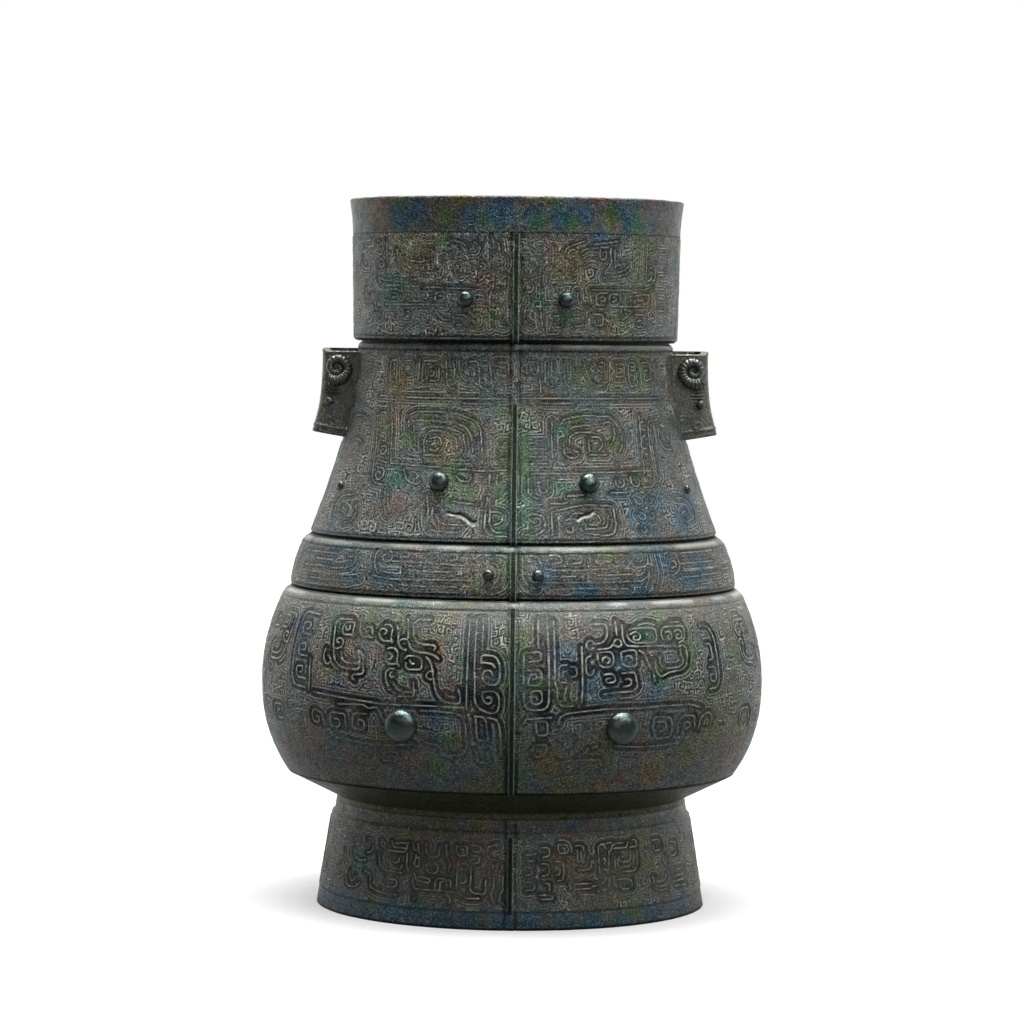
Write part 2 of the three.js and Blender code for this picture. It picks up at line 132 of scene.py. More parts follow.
# %% [markdown]
# ## Studio
#
# The vessel stands on a white sweep under soft light from above. The sweep is white to the lens and
# to mirror-like reflections, but it throws little light on the object: its glow and most of its
# diffuse white are there for those rays alone, and the diffuse part takes the shadow.

# %% Studio
AIR_STRENGTH = 0.03
AIR_COLOUR = (0.94, 0.97, 1.0, 1)
FLOOR_SIZE = 30
FLOOR_GLOW = 0.54
FLOOR_WHITE = 0.5
FLOOR_BOUNCE = 0.12
# from in front of the vessel to behind it: as a direction in the world, in metres on the floor
WORLD_BEHIND = (-0.1, 0.5)
FLOOR_BEHIND = (-0.3, 0.3)
# the floor's glow rises between these distances from the vessel
GLOW_RISE = (0.3, 1.1)


def white_for(tree, place, near, far):
    """1 for rays from the lens and for reflections of what is behind the vessel, else 0"""
    path = add_node(tree, "ShaderNodeLightPath").outputs
    depth = add_node(tree, "ShaderNodeSeparateXYZ", {0: place}).outputs["Y"]
    mirrored = calculate(tree, "MULTIPLY", path["Is Glossy Ray"], remap(tree, depth, near, far))
    seen = calculate(tree, "MAXIMUM", path["Is Camera Ray"], path["Is Transmission Ray"])
    return calculate(tree, "MAXIMUM", seen, mirrored)


world = bpy.data.worlds.new("studio")
bpy.context.scene.world = world
tree = empty_tree(world)
view = add_node(tree, "ShaderNodeTexCoord").outputs["Generated"]
seen = white_for(tree, view, *WORLD_BEHIND)
air = add_node(tree, "ShaderNodeBackground", {"Color": AIR_COLOUR, "Strength": AIR_STRENGTH})
backdrop = add_node(tree, "ShaderNodeBackground", {"Color": (1, 1, 1, 1), "Strength": 1.0})
mixed = add_node(tree, "ShaderNodeMixShader", {0: seen, 1: air.outputs[0], 2: backdrop.outputs[0]})
add_node(tree, "ShaderNodeOutputWorld", {"Surface": mixed.outputs[0]})

# %% White sweep
floor_finish = bpy.data.materials.new("white sweep")
tree = empty_tree(floor_finish)
place = add_node(tree, "ShaderNodeTexCoord").outputs["Object"]
seen = white_for(tree, place, *FLOOR_BEHIND)
to_lens = add_node(tree, "ShaderNodeLightPath").outputs["Is Camera Ray"]
away = add_node(tree, "ShaderNodeVectorMath", {0: place}, operation="LENGTH").outputs["Value"]
rise = remap(tree, away, *GLOW_RISE, FLOOR_GLOW, 1.0)
shade = calculate(tree, "MULTIPLY_ADD", to_lens, FLOOR_WHITE - FLOOR_BOUNCE, FLOOR_BOUNCE)
matt = add_node(tree, "ShaderNodeBsdfDiffuse", {"Color": shade})
glow = add_node(tree, "ShaderNodeEmission", {"Strength": calculate(tree, "MULTIPLY", seen, rise)})
both = add_node(tree, "ShaderNodeAddShader", {0: matt.outputs[0], 1: glow.outputs[0]})
add_node(tree, "ShaderNodeOutputMaterial", {"Surface": both.outputs[0]})

bpy.ops.mesh.primitive_plane_add(size=FLOOR_SIZE)
floor = bpy.context.object
floor.name = "studio_floor"
floor.data.materials.append(floor_finish)

# %% Softboxes
# lamp: place, width and depth in metres, watts
LAMPS = {
    "overhead": ((0.0, -0.05, 1.6), (1.2, 0.7), 47),
    "key": ((1.05, -1.05, 1.4), (0.9, 0.9), 14),
    "front fill": ((0.0, -2.3, 1.0), (1.6, 0.9), 5),
}
LIT_POINT = Vector((0, 0, 0.2))

for name, (place, size, watts) in LAMPS.items():
    light = bpy.data.lights.new(name, "AREA")
    light.shape = "RECTANGLE"
    light.size, light.size_y = size
    light.energy = watts
    lamp = bpy.data.objects.new(name, light)
    lamp.location = place
    lamp.rotation_euler = (LIT_POINT - Vector(place)).to_track_quat("-Z", "Y").to_euler()
    bpy.context.scene.collection.objects.link(lamp)
    print(name, "softbox of", watts, "W")

# %% [markdown]
# ## The vessel's outline
#
# Every register is an oval ring, four fifths as deep as it is wide, and its half width is a function
# of height. The rounded edges beside the grooves are part of that function, so a panel follows them.

# %% Sizes of the registers
# millimetres, as is every length from here on unless it says metres
DEPTH_TO_WIDTH = 0.8
WALL = 4.0
FOOT_WALL = 5.0
FOOT_HEIGHT = 60.0
FOOT_BOTTOM = 110.7
FOOT_TOP = 101.0
FOOT_COLLAR_FROM = 52.0
FOOT_STEP = 1.4
BELLY_HEIGHT = 105.0
BELLY_WIDEST_UP = 51.5
BELLY_WIDEST = 142.5
BELLY_BOTTOM = 127.5
BELLY_TOP = 128.6
BELLY_BENDS = (2.35, 2.0)
SHOULDER_HEIGHT = 29.5
SHOULDER_BOTTOM = 126.4
SHOULDER_DRAW = 8.8
SHOULDER_BEND = 1.8
NECK_HEIGHT = 109.5
NECK_BOTTOM = 115.8
NECK_TOP = 89.4
# how far in and how far up the two handles of the neck's curve stand, as shares
NECK_LOWER_HANDLE = (0.56, 0.365)
NECK_UPPER_HANDLE = (1.0, 0.66)
MOUTH_HEIGHT = 60.0
MOUTH_BOTTOM = 91.5
MOUTH_FLARE = 1.1
RIM_HEIGHT = 19.5
RIM_BOTTOM = 92.6
RIM_FLARE = 2.0
RIM_BEND = 1.6
LIP_ROUND = 1.2
GROOVE_DEPTH = 2.0
SHELF_ROUND = 2.9
SHELF_BELOW_GROOVE = 0.9
UNDERCUT_HEIGHT = 1.5
UNDERCUT_DEPTH = 1.7
UNDERCUT_BEND = 0.6

# %% Outline of the registers
def edge_round(distance, height, depth):
    across = np.clip(1 - distance / height, 0, 1)
    return depth * (1 - np.sqrt(1 - across**2))


def shelf_inset(up, height):
    """How far the rounded shelf at the top of a register is drawn in"""
    return edge_round(height - up - SHELF_BELOW_GROOVE, SHELF_ROUND, GROOVE_DEPTH)


def undercut_inset(up):
    """How far the sharp lip at the bottom of a register is cut under"""
    return UNDERCUT_DEPTH * np.clip(1 - up / UNDERCUT_HEIGHT, 0, 1) ** UNDERCUT_BEND


def foot_outline(up):
    slope = FOOT_BOTTOM + (FOOT_TOP - FOOT_BOTTOM) * up / FOOT_HEIGHT
    return slope - FOOT_STEP * np.clip((up - FOOT_COLLAR_FROM) / FOOT_STEP, 0, 1)


def belly_outline(up):
    below = up < BELLY_WIDEST_UP
    span = np.where(below, BELLY_WIDEST_UP, BELLY_HEIGHT - BELLY_WIDEST_UP)
    drop = np.where(below, BELLY_WIDEST - BELLY_BOTTOM, BELLY_WIDEST - BELLY_TOP)
    bend = np.where(below, *BELLY_BENDS)
    plain = BELLY_WIDEST - drop * (np.abs(up - BELLY_WIDEST_UP) / span) ** bend
    return plain - shelf_inset(up, BELLY_HEIGHT)


def shoulder_outline(up):
    plain = SHOULDER_BOTTOM - SHOULDER_DRAW * np.clip(up / SHOULDER_HEIGHT, 0, 1) ** SHOULDER_BEND
    return plain - shelf_inset(up, SHOULDER_HEIGHT) - undercut_inset(up)


def neck_outline(up):
    t = np.linspace(0, 1, 61)
    lower, upper = NECK_LOWER_HANDLE, NECK_UPPER_HANDLE
    drawn_in = NECK_TOP - NECK_BOTTOM
    widths = (NECK_BOTTOM, NECK_BOTTOM + drawn_in * lower[0], NECK_BOTTOM + drawn_in * upper[0], NECK_TOP)
    heights = (0, NECK_HEIGHT * lower[1], NECK_HEIGHT * upper[1], NECK_HEIGHT)
    curve = [
        (1 - t) ** 3 * a + 3 * (1 - t) ** 2 * t * b + 3 * (1 - t) * t**2 * c + t**3 * d
        for a, b, c, d in (widths, heights)
    ]
    plain = np.interp(up, curve[1], curve[0])
    return plain - shelf_inset(up, NECK_HEIGHT) - undercut_inset(up)


def mouth_outline(up):
    return MOUTH_BOTTOM + MOUTH_FLARE * up / MOUTH_HEIGHT - undercut_inset(up)


def rim_outline(up):
    plain = RIM_BOTTOM + RIM_FLARE * np.clip(up / RIM_HEIGHT, 0, 1) ** RIM_BEND
    return plain - edge_round(RIM_HEIGHT - up, LIP_ROUND, LIP_ROUND)


# %% Registers beside their solids
# node: lower edge, height, wall, outline
REGISTERS = {
    "foot_ring": (0.0, FOOT_HEIGHT, FOOT_WALL, foot_outline),
    "belly": (76.5, BELLY_HEIGHT, WALL, belly_outline),
    "shoulder_band": (181.5, SHOULDER_HEIGHT, WALL, shoulder_outline),
    "neck": (211.0, NECK_HEIGHT, WALL, neck_outline),
    "mouth_band": (320.5, MOUTH_HEIGHT, WALL, mouth_outline),
    "rim": (380.5, RIM_HEIGHT, WALL, rim_outline),
}
for name, (low, height, wall, outline) in REGISTERS.items():
    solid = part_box(name)
    reach = outline(np.linspace(0, height, 50)).max()
    print(name, "half width", round(float(reach), 1), "mm, solid", round(solid[1][0] / MM, 1))

# %% [markdown]
# ## Thread lines
#
# The motifs are drawn with a raised thread of metal between two furrows. A stroke is written as a
# chain of points in millimetres, across from the seam and up from the register's lower edge, and its
# corners are rounded. For every point of a panel the script then finds the nearest stroke, which
# gives an even thread of any width and the lines that run beside it.

# %% Strokes and the distance to them
CORNER = 2.0
CORNER_STEPS = 5
# strokes further off than this make no difference
FAR = 12.0


def drawn(text):
    """Strokes written one to a line, each a chain of points x,y"""
    lines = text.strip().splitlines()
    return [[tuple(map(float, point.split(","))) for point in line.split()] for line in lines]


def rounded(stroke):
    points = [np.array(point) for point in stroke]
    chain = [points[0]]
    for before, here, after in zip(points, points[1:], points[2:]):
        back, on = before - here, after - here
        reach_back, reach_on = np.hypot(*back), np.hypot(*on)
        reach = min(CORNER, reach_back / 2, reach_on / 2)
        start, end = here + back / reach_back * reach, here + on / reach_on * reach
        for t in np.linspace(0, 1, CORNER_STEPS):
            chain.append((1 - t) ** 2 * start + 2 * t * (1 - t) * here + t**2 * end)
    chain.append(points[-1])
    return chain


def distance_to(strokes, across, up):
    """The distance from each point of a grid to the nearest stroke"""
    nearest = np.full((len(up), len(across)), FAR)
    for stroke in strokes:
        chain = rounded(stroke)
        for a, b in zip(chain, chain[1:]):
            lo, hi = np.minimum(a, b) - FAR, np.maximum(a, b) + FAR
            left, right = np.searchsorted(across, (lo[0], hi[0]))
            under, over = np.searchsorted(up, (lo[1], hi[1]))
            if left >= right or under >= over:
                continue
            x = across[None, left:right] - a[0]
            y = up[under:over, None] - a[1]
            d = b - a
            along = np.clip((x * d[0] + y * d[1]) / max(d @ d, 1e-9), 0, 1)
            window = nearest[under:over, left:right]
            np.minimum(window, np.hypot(x - along * d[0], y - along * d[1]), out=window)
    return nearest


def smooth_step(value, low, high):
    t = np.clip((value - low) / (high - low), 0, 1)
    return t * t * (3 - 2 * t)


def ridge(distance, width):
    return np.exp(-((distance / width) ** 2))


# %% [markdown]
# ## The thunder ground
#
# Between the motifs the surface is filled with fine square spirals, the thunder pattern. Near a motif
# the lines run along it instead, like the rings of a fingerprint. A spiral is a wave over the square
# distance from its middle, less one turn for each time round, so no line of it has to be drawn.

# %% Thunder ground
# from one line of the ground to the next, and the width of the cell that a spiral fills
GROUND_PITCH = 1.6
SPIRAL_CELL = 5.1
# each cell's spiral is turned over at random, and the choice repeats after this many cells
CELLS = 64
NOISE_CELLS = 80
NOISE_SHIFT = 20


def thunder_spirals(across, up, seed):
    rng = np.random.default_rng(seed)
    row = np.floor(up / SPIRAL_CELL)
    shift = 0.5 * (row % 2)
    column = np.floor(across / SPIRAL_CELL + shift)
    x = across - (column - shift + 0.5) * SPIRAL_CELL
    y = up - (row + 0.5) * SPIRAL_CELL
    pick = rng.integers(0, 8, size=(CELLS, CELLS))[row.astype(int) % CELLS, column.astype(int) % CELLS]
    x = np.where(pick & 1, -x, x)
    y = np.where(pick & 2, -y, y)
    x, y = np.where(pick & 4, y, x), np.where(pick & 4, x, y)
    reach = np.maximum(np.abs(x), np.abs(y))
    turn = np.arctan2(y, x) / (2 * np.pi)
    return np.cos(2 * np.pi * (reach / GROUND_PITCH - turn))


def soft_noise(across, up, size, seed):
    """Random values from 0 to 1 in cells of a size, blended smoothly"""
    grid = np.random.default_rng(seed).random((NOISE_CELLS, NOISE_CELLS))
    x, y = across / size + NOISE_SHIFT, up / size + NOISE_SHIFT
    i, j = np.floor(x).astype(int), np.floor(y).astype(int)
    fx, fy = smooth_step(x - i, 0, 1), smooth_step(y - j, 0, 1)
    i, j = i % (NOISE_CELLS - 1), j % (NOISE_CELLS - 1)
    low = grid[j, i] * (1 - fx) + grid[j, i + 1] * fx
    high = grid[j + 1, i] * (1 - fx) + grid[j + 1, i + 1] * fx
    return low * (1 - fy) + high * fy


# %% [markdown]
# ## Relief
#
# On the real vessel the carver's lines, the ground, the furrows beside the seams and long wear all
# meet in one surface. Here they are added up as one height for each point of a panel. The same shares
# also say where the metal is rubbed bright and where dirt lies, so the finish follows the carving. They
# also paint a highlight on the shelf at the top of a register and shade in the grooves beside it.

# %% Relief of one panel
THREAD_HEIGHT = 0.45
THREAD_HALF_WIDTH = 0.42
CHANNEL_DEPTH = 0.4
CHANNEL_HALF_WIDTH = 2.3
GROUND_HEIGHT = 0.2
# the ground's lines run along a motif up to this far from it
FOLLOW_REACH = 5.6
# how far the spirals are pushed off their grid, and over what length
WARP = 2.4
WARP_SIZE = 5
SEAM_FURROW = 2.9
SEAM_FURROW_DEPTH = 0.5
SEAM_FURROW_HALF_WIDTH = 0.9
LINE_DEPTH = 0.35
LINE_HALF_WIDTH = 0.55
PIT_DEPTH = 0.16
PIT_SIZE = 2.2
SWELL_HEIGHT = 0.35
SWELL_SIZE = 17
# wear comes in over this height, and leaves these shares of the threads and of the ground
WEAR_FADE = 28
THREADS_LEFT = 0.35
GROUND_LEFT = 0.3
# the length over which wear, breaks in the threads, gaps in the ground and the shelf's painted highlight
# change
WEAR_SIZE = 9
BREAK_SIZE = 2.3
PATCH_SIZE = 7
HIGHLIGHT_PATCH_SIZE = 16
# below the top of a register: where its shelf's painted highlight starts, that highlight's line at
# the crest, the painted shade in the groove above it, and where the lines of the ground end
SHELF_FROM = (4.0, 3.2)
SHELF_CREST = 1.7
SHELF_CREST_HALF_WIDTH = 0.7
GROOVE_FROM = (0.9, 0.3)
GROUND_TO = (4.4, 3.4)
# above the bottom of a register: where the painted shade under its lip ends
UNDERCUT_TO = (1.0, 1.7)


def relief(strokes, lines, across, up, field, fineness, boldness, worn_below, shelf_highlight, seed):
    """Height of a panel's face, its rubbed crests with the painted highlights, and its dirty hollows with
    the painted shade
    """
    near = distance_to(strokes, across, up)
    x, y = np.meshgrid(across, up)
    top = up[-1]

    def uneven(size, draw):
        return soft_noise(x, y, size, seed + draw)

    low, high = field
    inside = smooth_step(y, low, low + 1.0) * (1 - smooth_step(y, high - 1.0, high))
    kept = smooth_step(y, worn_below - WEAR_FADE, worn_below)
    wear = 0.5 + 0.5 * smooth_step(uneven(WEAR_SIZE, 1), 0.2, 0.75)
    bold = boldness * wear * (THREADS_LEFT + (1 - THREADS_LEFT) * kept)
    broken = 0.3 + 0.7 * smooth_step(uneven(BREAK_SIZE, 7), 0.15, 0.6)
    thread = np.clip(1 - (near / (THREAD_HALF_WIDTH * fineness)) ** 2, 0, 1)
    reach = CHANNEL_HALF_WIDTH * fineness
    channel = 1 - smooth_step(near, reach - 0.5, reach + 0.5)

    warp_x, warp_y = (WARP * (uneven(WARP_SIZE, draw) - 0.5) for draw in (4, 5))
    follow = np.cos(2 * np.pi * near / GROUND_PITCH)
    spirals = thunder_spirals(x + warp_x, y + warp_y, seed)
    blend = smooth_step(near, FOLLOW_REACH - 0.4, FOLLOW_REACH + 0.4)
    ground = follow * (1 - blend) * 0.8 + spirals * blend
    patchy = 0.25 + 0.75 * smooth_step(uneven(PATCH_SIZE, 6), 0.3, 0.75)
    share = (1 - channel) * inside * patchy * (GROUND_LEFT + (1 - GROUND_LEFT) * kept)

    seam = sum(ridge(away - SEAM_FURROW, SEAM_FURROW_HALF_WIDTH) for away in (x, across[-1] - x))
    cuts = sum(ridge(y - line, LINE_HALF_WIDTH) for line in lines)
    height = THREAD_HEIGHT * thread * bold * broken - CHANNEL_DEPTH * channel * bold
    height = height + GROUND_HEIGHT * ground * share - LINE_DEPTH * cuts - SEAM_FURROW_DEPTH * seam
    height += PIT_DEPTH * (uneven(PIT_SIZE, 2) - 0.5)
    height += SWELL_HEIGHT * (uneven(SWELL_SIZE, 3) - 0.5)

    # on the shelf at the top of a register a highlight is painted as a band with a brighter line, patchy
    # along it
    highlight_patches = 0.15 + 0.85 * smooth_step(soft_noise(x, 0 * y, HIGHLIGHT_PATCH_SIZE, seed + 8), 0.3, 0.8)
    on_shelf, groove_shade, past_ground = (
        smooth_step(y, top - start, top - end) for start, end in (SHELF_FROM, GROOVE_FROM, GROUND_TO)
    )
    lip_highlight = highlight_patches * (0.35 * on_shelf + 0.65 * ridge(y - top + SHELF_CREST, SHELF_CREST_HALF_WIDTH))
    # shade is painted in the groove at the top of a register and under the lip at its bottom, where no
    # rubbed crest shows
    undercut_shade = np.maximum(1 - smooth_step(y, *UNDERCUT_TO), groove_shade)
    share = share * (1 - past_ground)
    wear_and_highlight = np.maximum(thread * bold * broken, 0.8 * np.clip(ground, 0, 1) ** 2 * share)
    wear_and_highlight = np.maximum(wear_and_highlight, shelf_highlight * lip_highlight) * (1 - undercut_shade)
    dirt_and_shade = np.maximum(channel * (1 - thread) * bold, 0.95 * np.clip(-ground, 0, 1) * share)
    dirt_and_shade = np.maximum(dirt_and_shade, np.minimum(cuts + seam, 1) * 0.85)
    return height, wear_and_highlight, np.maximum(dirt_and_shade, undercut_shade)


# %% [markdown]
# ## Patina
#
# Old bronze is dark brown metal under a skin of its own salts: dull grey all over, malachite green
# where water stood, azurite blue along the rim and the foot, red copper oxide between the motifs.
# Each salt tints the grey skin, and the tints mix. The raised threads are rubbed paler and the furrows
# hold dark dirt; a highlight is painted on the shelves, and shade in the grooves between registers. The
# panels say where all of that lies with three attributes: rubbed crests with the painted highlights,
# dirty hollows with the painted shade, and the stain.

# %% Colours and salts
def srgb(*values):
    """A colour as it is read off a screen, 0 to 255, in the linear numbers that a shader works with"""
    parts = [v / 255 for v in values]
    return tuple(p / 12.92 if p <= 0.04045 else ((p + 0.055) / 1.055) ** 2.4 for p in parts) + (1.0,)


DARK_METAL = srgb(50, 57, 64)
GREY_SKIN = srgb(80, 95, 97)
BROWN_SKIN = srgb(96, 88, 79)
SMOOTH_SKIN = srgb(89, 93, 88)
# pale metal of rubbed threads, worm lines and specks, also used to paint highlights on the shelves, the
# belly's upper band and the flanges
RUBBED_AND_HIGHLIGHT = srgb(228, 228, 216)
# dark dirt of the furrows, also used to paint shade in the grooves, under the lips and in a flaw's pit, and
# a dark reflection along the flanges
DIRT_AND_SHADE = srgb(8, 18, 23)
FURROW_GREEN = srgb(82, 112, 74)
METALLIC = 0.85
# noise cells in a metre
MOTTLE_SCALE = 38
PATCH_SCALE = 170
BLOTCH_SCALE = 230
WORM_SCALE = 640
GRAIN_SCALE = 1150
# how far a full stain reaches into the blotches, and over what range of them it comes in
STAIN_REACH = 0.56
STAIN_RANGE = (0.56, 0.82)
# what each salt does to the red, green and blue of the skin
TINTS = {
    "red": (1.32, 0.86, 0.86),
    "green": (0.7, 1.2, 0.55),
    "blue": (0.34, 0.86, 1.4),
    "ochre": (1.15, 1.06, 0.55),
}
# on a flange, by the distance from its seam in metres: from, to, share at each, colour
# along the crest a dark reflection is painted, beside it a highlight is painted, and at the edges lie green
# salts
FLANGE_STRIPS = (
    (0.0009, 0.0012, 0.85, 0.0, DIRT_AND_SHADE),
    (0.0011, 0.0014, 0.0, 0.55, RUBBED_AND_HIGHLIGHT),
    (0.0014, 0.0016, 0.0, 0.7, FURROW_GREEN),
)

# %% Bronze finish
def tinted(tree, colour, tint):
    return add_node(tree, "ShaderNodeVectorMath", {0: colour, 1: tint}, operation="MULTIPLY").outputs[0]


def attribute(tree, name):
    return add_node(tree, "ShaderNodeAttribute", attribute_name=name).outputs


def worm_lines(tree, place):
    """Fine crooked ridges, found where a fine noise passes through its middle value"""
    level = calculate(tree, "SUBTRACT", noise(tree, place, WORM_SCALE, 1.5), 0.5)
    return remap(tree, calculate(tree, "ABSOLUTE", level), 0.0, 0.05, 1.0, 0.0)


def stained(tree, place, colour, amounts):
    """Tint the colour in blotches by the given amounts of each salt, as numbers or sockets"""
    blotches = noise(tree, place, BLOTCH_SCALE, 6, 0.75)
    for amount, tint in zip(amounts, TINTS.values()):
        level = calculate(tree, "MULTIPLY_ADD", amount, STAIN_REACH, blotches)
        colour = mix_colours(tree, remap(tree, level, *STAIN_RANGE), colour, tinted(tree, colour, tint))
    return colour


def bronze(name, carved=True, salts=None, gloss=0.3, rough=1.0, tone=1.0, seam=False):
    """A bronze; its salts are amounts of red, green, blue and ochre, or come from the panel if carved"""
    finish = bpy.data.materials.new(name)
    tree = empty_tree(finish)
    place = add_node(tree, "ShaderNodeTexCoord").outputs["Object"]
    patches = noise(tree, place, PATCH_SCALE, 6, 0.68)
    fine = noise(tree, place, GRAIN_SCALE, 2, 0.7)
    specks = remap(tree, noise(tree, place, GRAIN_SCALE, 1), 0.6, 0.68, 0, 0.3 * rough)
    worms = worm_lines(tree, place)
    colour = SMOOTH_SKIN
    if carved:
        mottle = remap(tree, noise(tree, place, MOTTLE_SCALE, 5, 0.7), 0.42, 0.58)
        colour = mix_colours(tree, mottle, BROWN_SKIN, GREY_SKIN)
        stain = attribute(tree, "stain")
        parts = add_node(tree, "ShaderNodeSeparateColor", {0: stain["Color"]}).outputs
        salts = (parts[0], parts[1], parts[2], stain["Alpha"])
    colour = mix_colours(tree, remap(tree, patches, 0.46, 0.62, 0, 0.55), colour, DARK_METAL)
    colour = stained(tree, place, colour, salts)
    grain = remap(tree, fine, 0.4, 0.6, tone * (1 - 0.4 * rough), tone * (1 + 0.4 * rough))
    colour = tinted(tree, colour, grain)
    colour = mix_colours(tree, calculate(tree, "MULTIPLY", worms, 0.2 * rough), colour, RUBBED_AND_HIGHLIGHT)
    colour = mix_colours(tree, specks, colour, RUBBED_AND_HIGHLIGHT)
    if seam:
        # the plane of the nearest seam passes through the middle of a flange
        axes = add_node(tree, "ShaderNodeSeparateXYZ", {0: place}).outputs
        off = calculate(tree, "MINIMUM", *(calculate(tree, "ABSOLUTE", axes[k]) for k in (0, 1)))
        # a painted dark reflection along the flange's crest, then a painted highlight, then green salts
        for start, end, share, end_share, strip in FLANGE_STRIPS:
            colour = mix_colours(tree, remap(tree, off, start, end, share, end_share), colour, strip)
    if carved:
        # dirt in the furrows with painted shade in the grooves, then rubbed threads with painted highlights
        for layer, layer_colour in (("dirt_and_shade", DIRT_AND_SHADE), ("wear_and_highlight", RUBBED_AND_HIGHLIGHT)):
            amount = calculate(tree, "MULTIPLY", attribute(tree, layer)["Fac"], 0.9)
            colour = mix_colours(tree, amount, colour, layer_colour)
    grit = calculate(tree, "MULTIPLY_ADD", worms, 0.5, fine)
    bump = add_node(tree, "ShaderNodeBump", {"Height": grit, "Strength": 0.9 * rough, "Distance": 0.0008})
    shine = remap(tree, patches, 0.36, 0.64, gloss, gloss + 0.14)
    sockets = {"Base Color": colour, "Roughness": shine, "Normal": bump.outputs[0], "Metallic": METALLIC}
    shader = add_node(tree, "ShaderNodeBsdfPrincipled", sockets)
    add_node(tree, "ShaderNodeOutputMaterial", {"Surface": shader.outputs[0]})
    print("finish:", name)
    return finish


# %% The seven bronzes
WALL_BRONZE = bronze("patinated wall")
RIM_BRONZE = bronze("rim bronze", gloss=0.27, rough=0.6, tone=1.1)
FLANGE_BRONZE = bronze("green flange", False, (0, 0.7, 0.2, 0.2), seam=True)
LUG_BRONZE = bronze("lug bronze", False, (0.2, 0.05, 0.05, 0.15), gloss=0.26, rough=0.55, tone=1.5)
# its tone of 0.6 darkens it as painted shade under the belly
UNDERSIDE_BRONZE = bronze("underside in painted shade", False, (0.1, 0.2, 0.0, 0.9), rough=0.5, tone=0.6)
HORN_BRONZE = bronze("rubbed horn", False, (0.1, 0.0, 0.0, 0.1), gloss=0.25, rough=0.2, tone=1.45)
BOSS_BRONZE = bronze("rubbed boss", False, (0, 0.12, 0.2, 0), gloss=0.17, rough=0.2, tone=1.2)

# %% [markdown]
# ## Panels
#
# A panel is a closed shell: a fine grid on the outer face, a coarse one inside, and a flat cut at each
# seam. Its columns are spaced evenly along the oval and its rows along the outline.

# %% Columns and rows of a panel
GRID = 0.55
FINE_GRID = 0.49


def run_of(x, y):
    """The distance walked along a line of points, at each of them"""
    return np.concatenate([[0], np.cumsum(np.hypot(np.diff(x), np.diff(y)))])


def quarter_angles(half_width, step):
    """Angles from the front seam to the side seam, evenly spaced along the oval, and the distances"""
    angle = np.linspace(0, np.pi / 2, 800)
    along = run_of(half_width * np.sin(angle), half_width * DEPTH_TO_WIDTH * np.cos(angle))
    across = np.linspace(0, along[-1], int(along[-1] / step) + 1)
    return np.interp(across, along, angle), across


def outline_rows(outline, height, step):
    up = np.linspace(0, height, 2000)
    along = run_of(outline(up), up)
    return np.interp(np.linspace(0, along[-1], max(2, int(along[-1] / step) + 1)), along, up)


# %% Meshes and the nodes they replace
SHARP_ANGLE = math.radians(60)


def mesh_piece(name, points, quads, caps, material, attributes=None):
    """A mesh from points in millimetres, its quads and the many-sided caps that close it"""
    mesh = bpy.data.meshes.new(name)
    loops = np.concatenate([quads.ravel()] + [np.asarray(cap) for cap in caps])
    sizes = np.concatenate([np.full(len(quads), 4), np.array([len(cap) for cap in caps], int)])
    mesh.vertices.add(len(points))
    mesh.vertices.foreach_set("co", (points * MM).astype(np.float32).ravel())
    mesh.loops.add(len(loops))
    mesh.loops.foreach_set("vertex_index", loops.astype(np.int32))
    mesh.polygons.add(len(sizes))
    mesh.polygons.foreach_set("loop_start", np.concatenate([[0], np.cumsum(sizes)[:-1]]).astype(np.int32))
    for key, values in (attributes or {}).items():
        coloured = values.shape[-1] == 4
        layer = mesh.attributes.new(key, "FLOAT_COLOR" if coloured else "FLOAT", "POINT")
        layer.data.foreach_set("color" if coloured else "value", values.astype(np.float32).ravel())
    mesh.update(calc_edges=True)
    mesh.validate()
    mesh.shade_smooth()
    mesh.set_sharp_from_angle(angle=SHARP_ANGLE)
    mesh.materials.append(material)
    piece = bpy.data.objects.new(name, mesh)
    bpy.context.scene.collection.objects.link(piece)
    return piece


def keep(piece, nodes):
    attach(piece, "root")
    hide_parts(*nodes)


# %% Panel builder
INSIDE_STEP = 9.0


def loop_quads(count, columns, around):
    """Quads between rows of points; the rows close on themselves, the columns only if around is true"""
    index = np.arange(count * columns).reshape(count, columns)
    above = np.roll(index, -1, axis=0)
    if around:
        beside, over = np.roll(index, -1, axis=1), np.roll(above, -1, axis=1)
        return np.stack([index, beside, over, above], axis=-1).reshape(-1, 4), []
    quads = np.stack([index[:, :-1], index[:, 1:], above[:, 1:], above[:, :-1]], axis=-1)
    return quads.reshape(-1, 4), [index[::-1, 0], index[:, -1]]


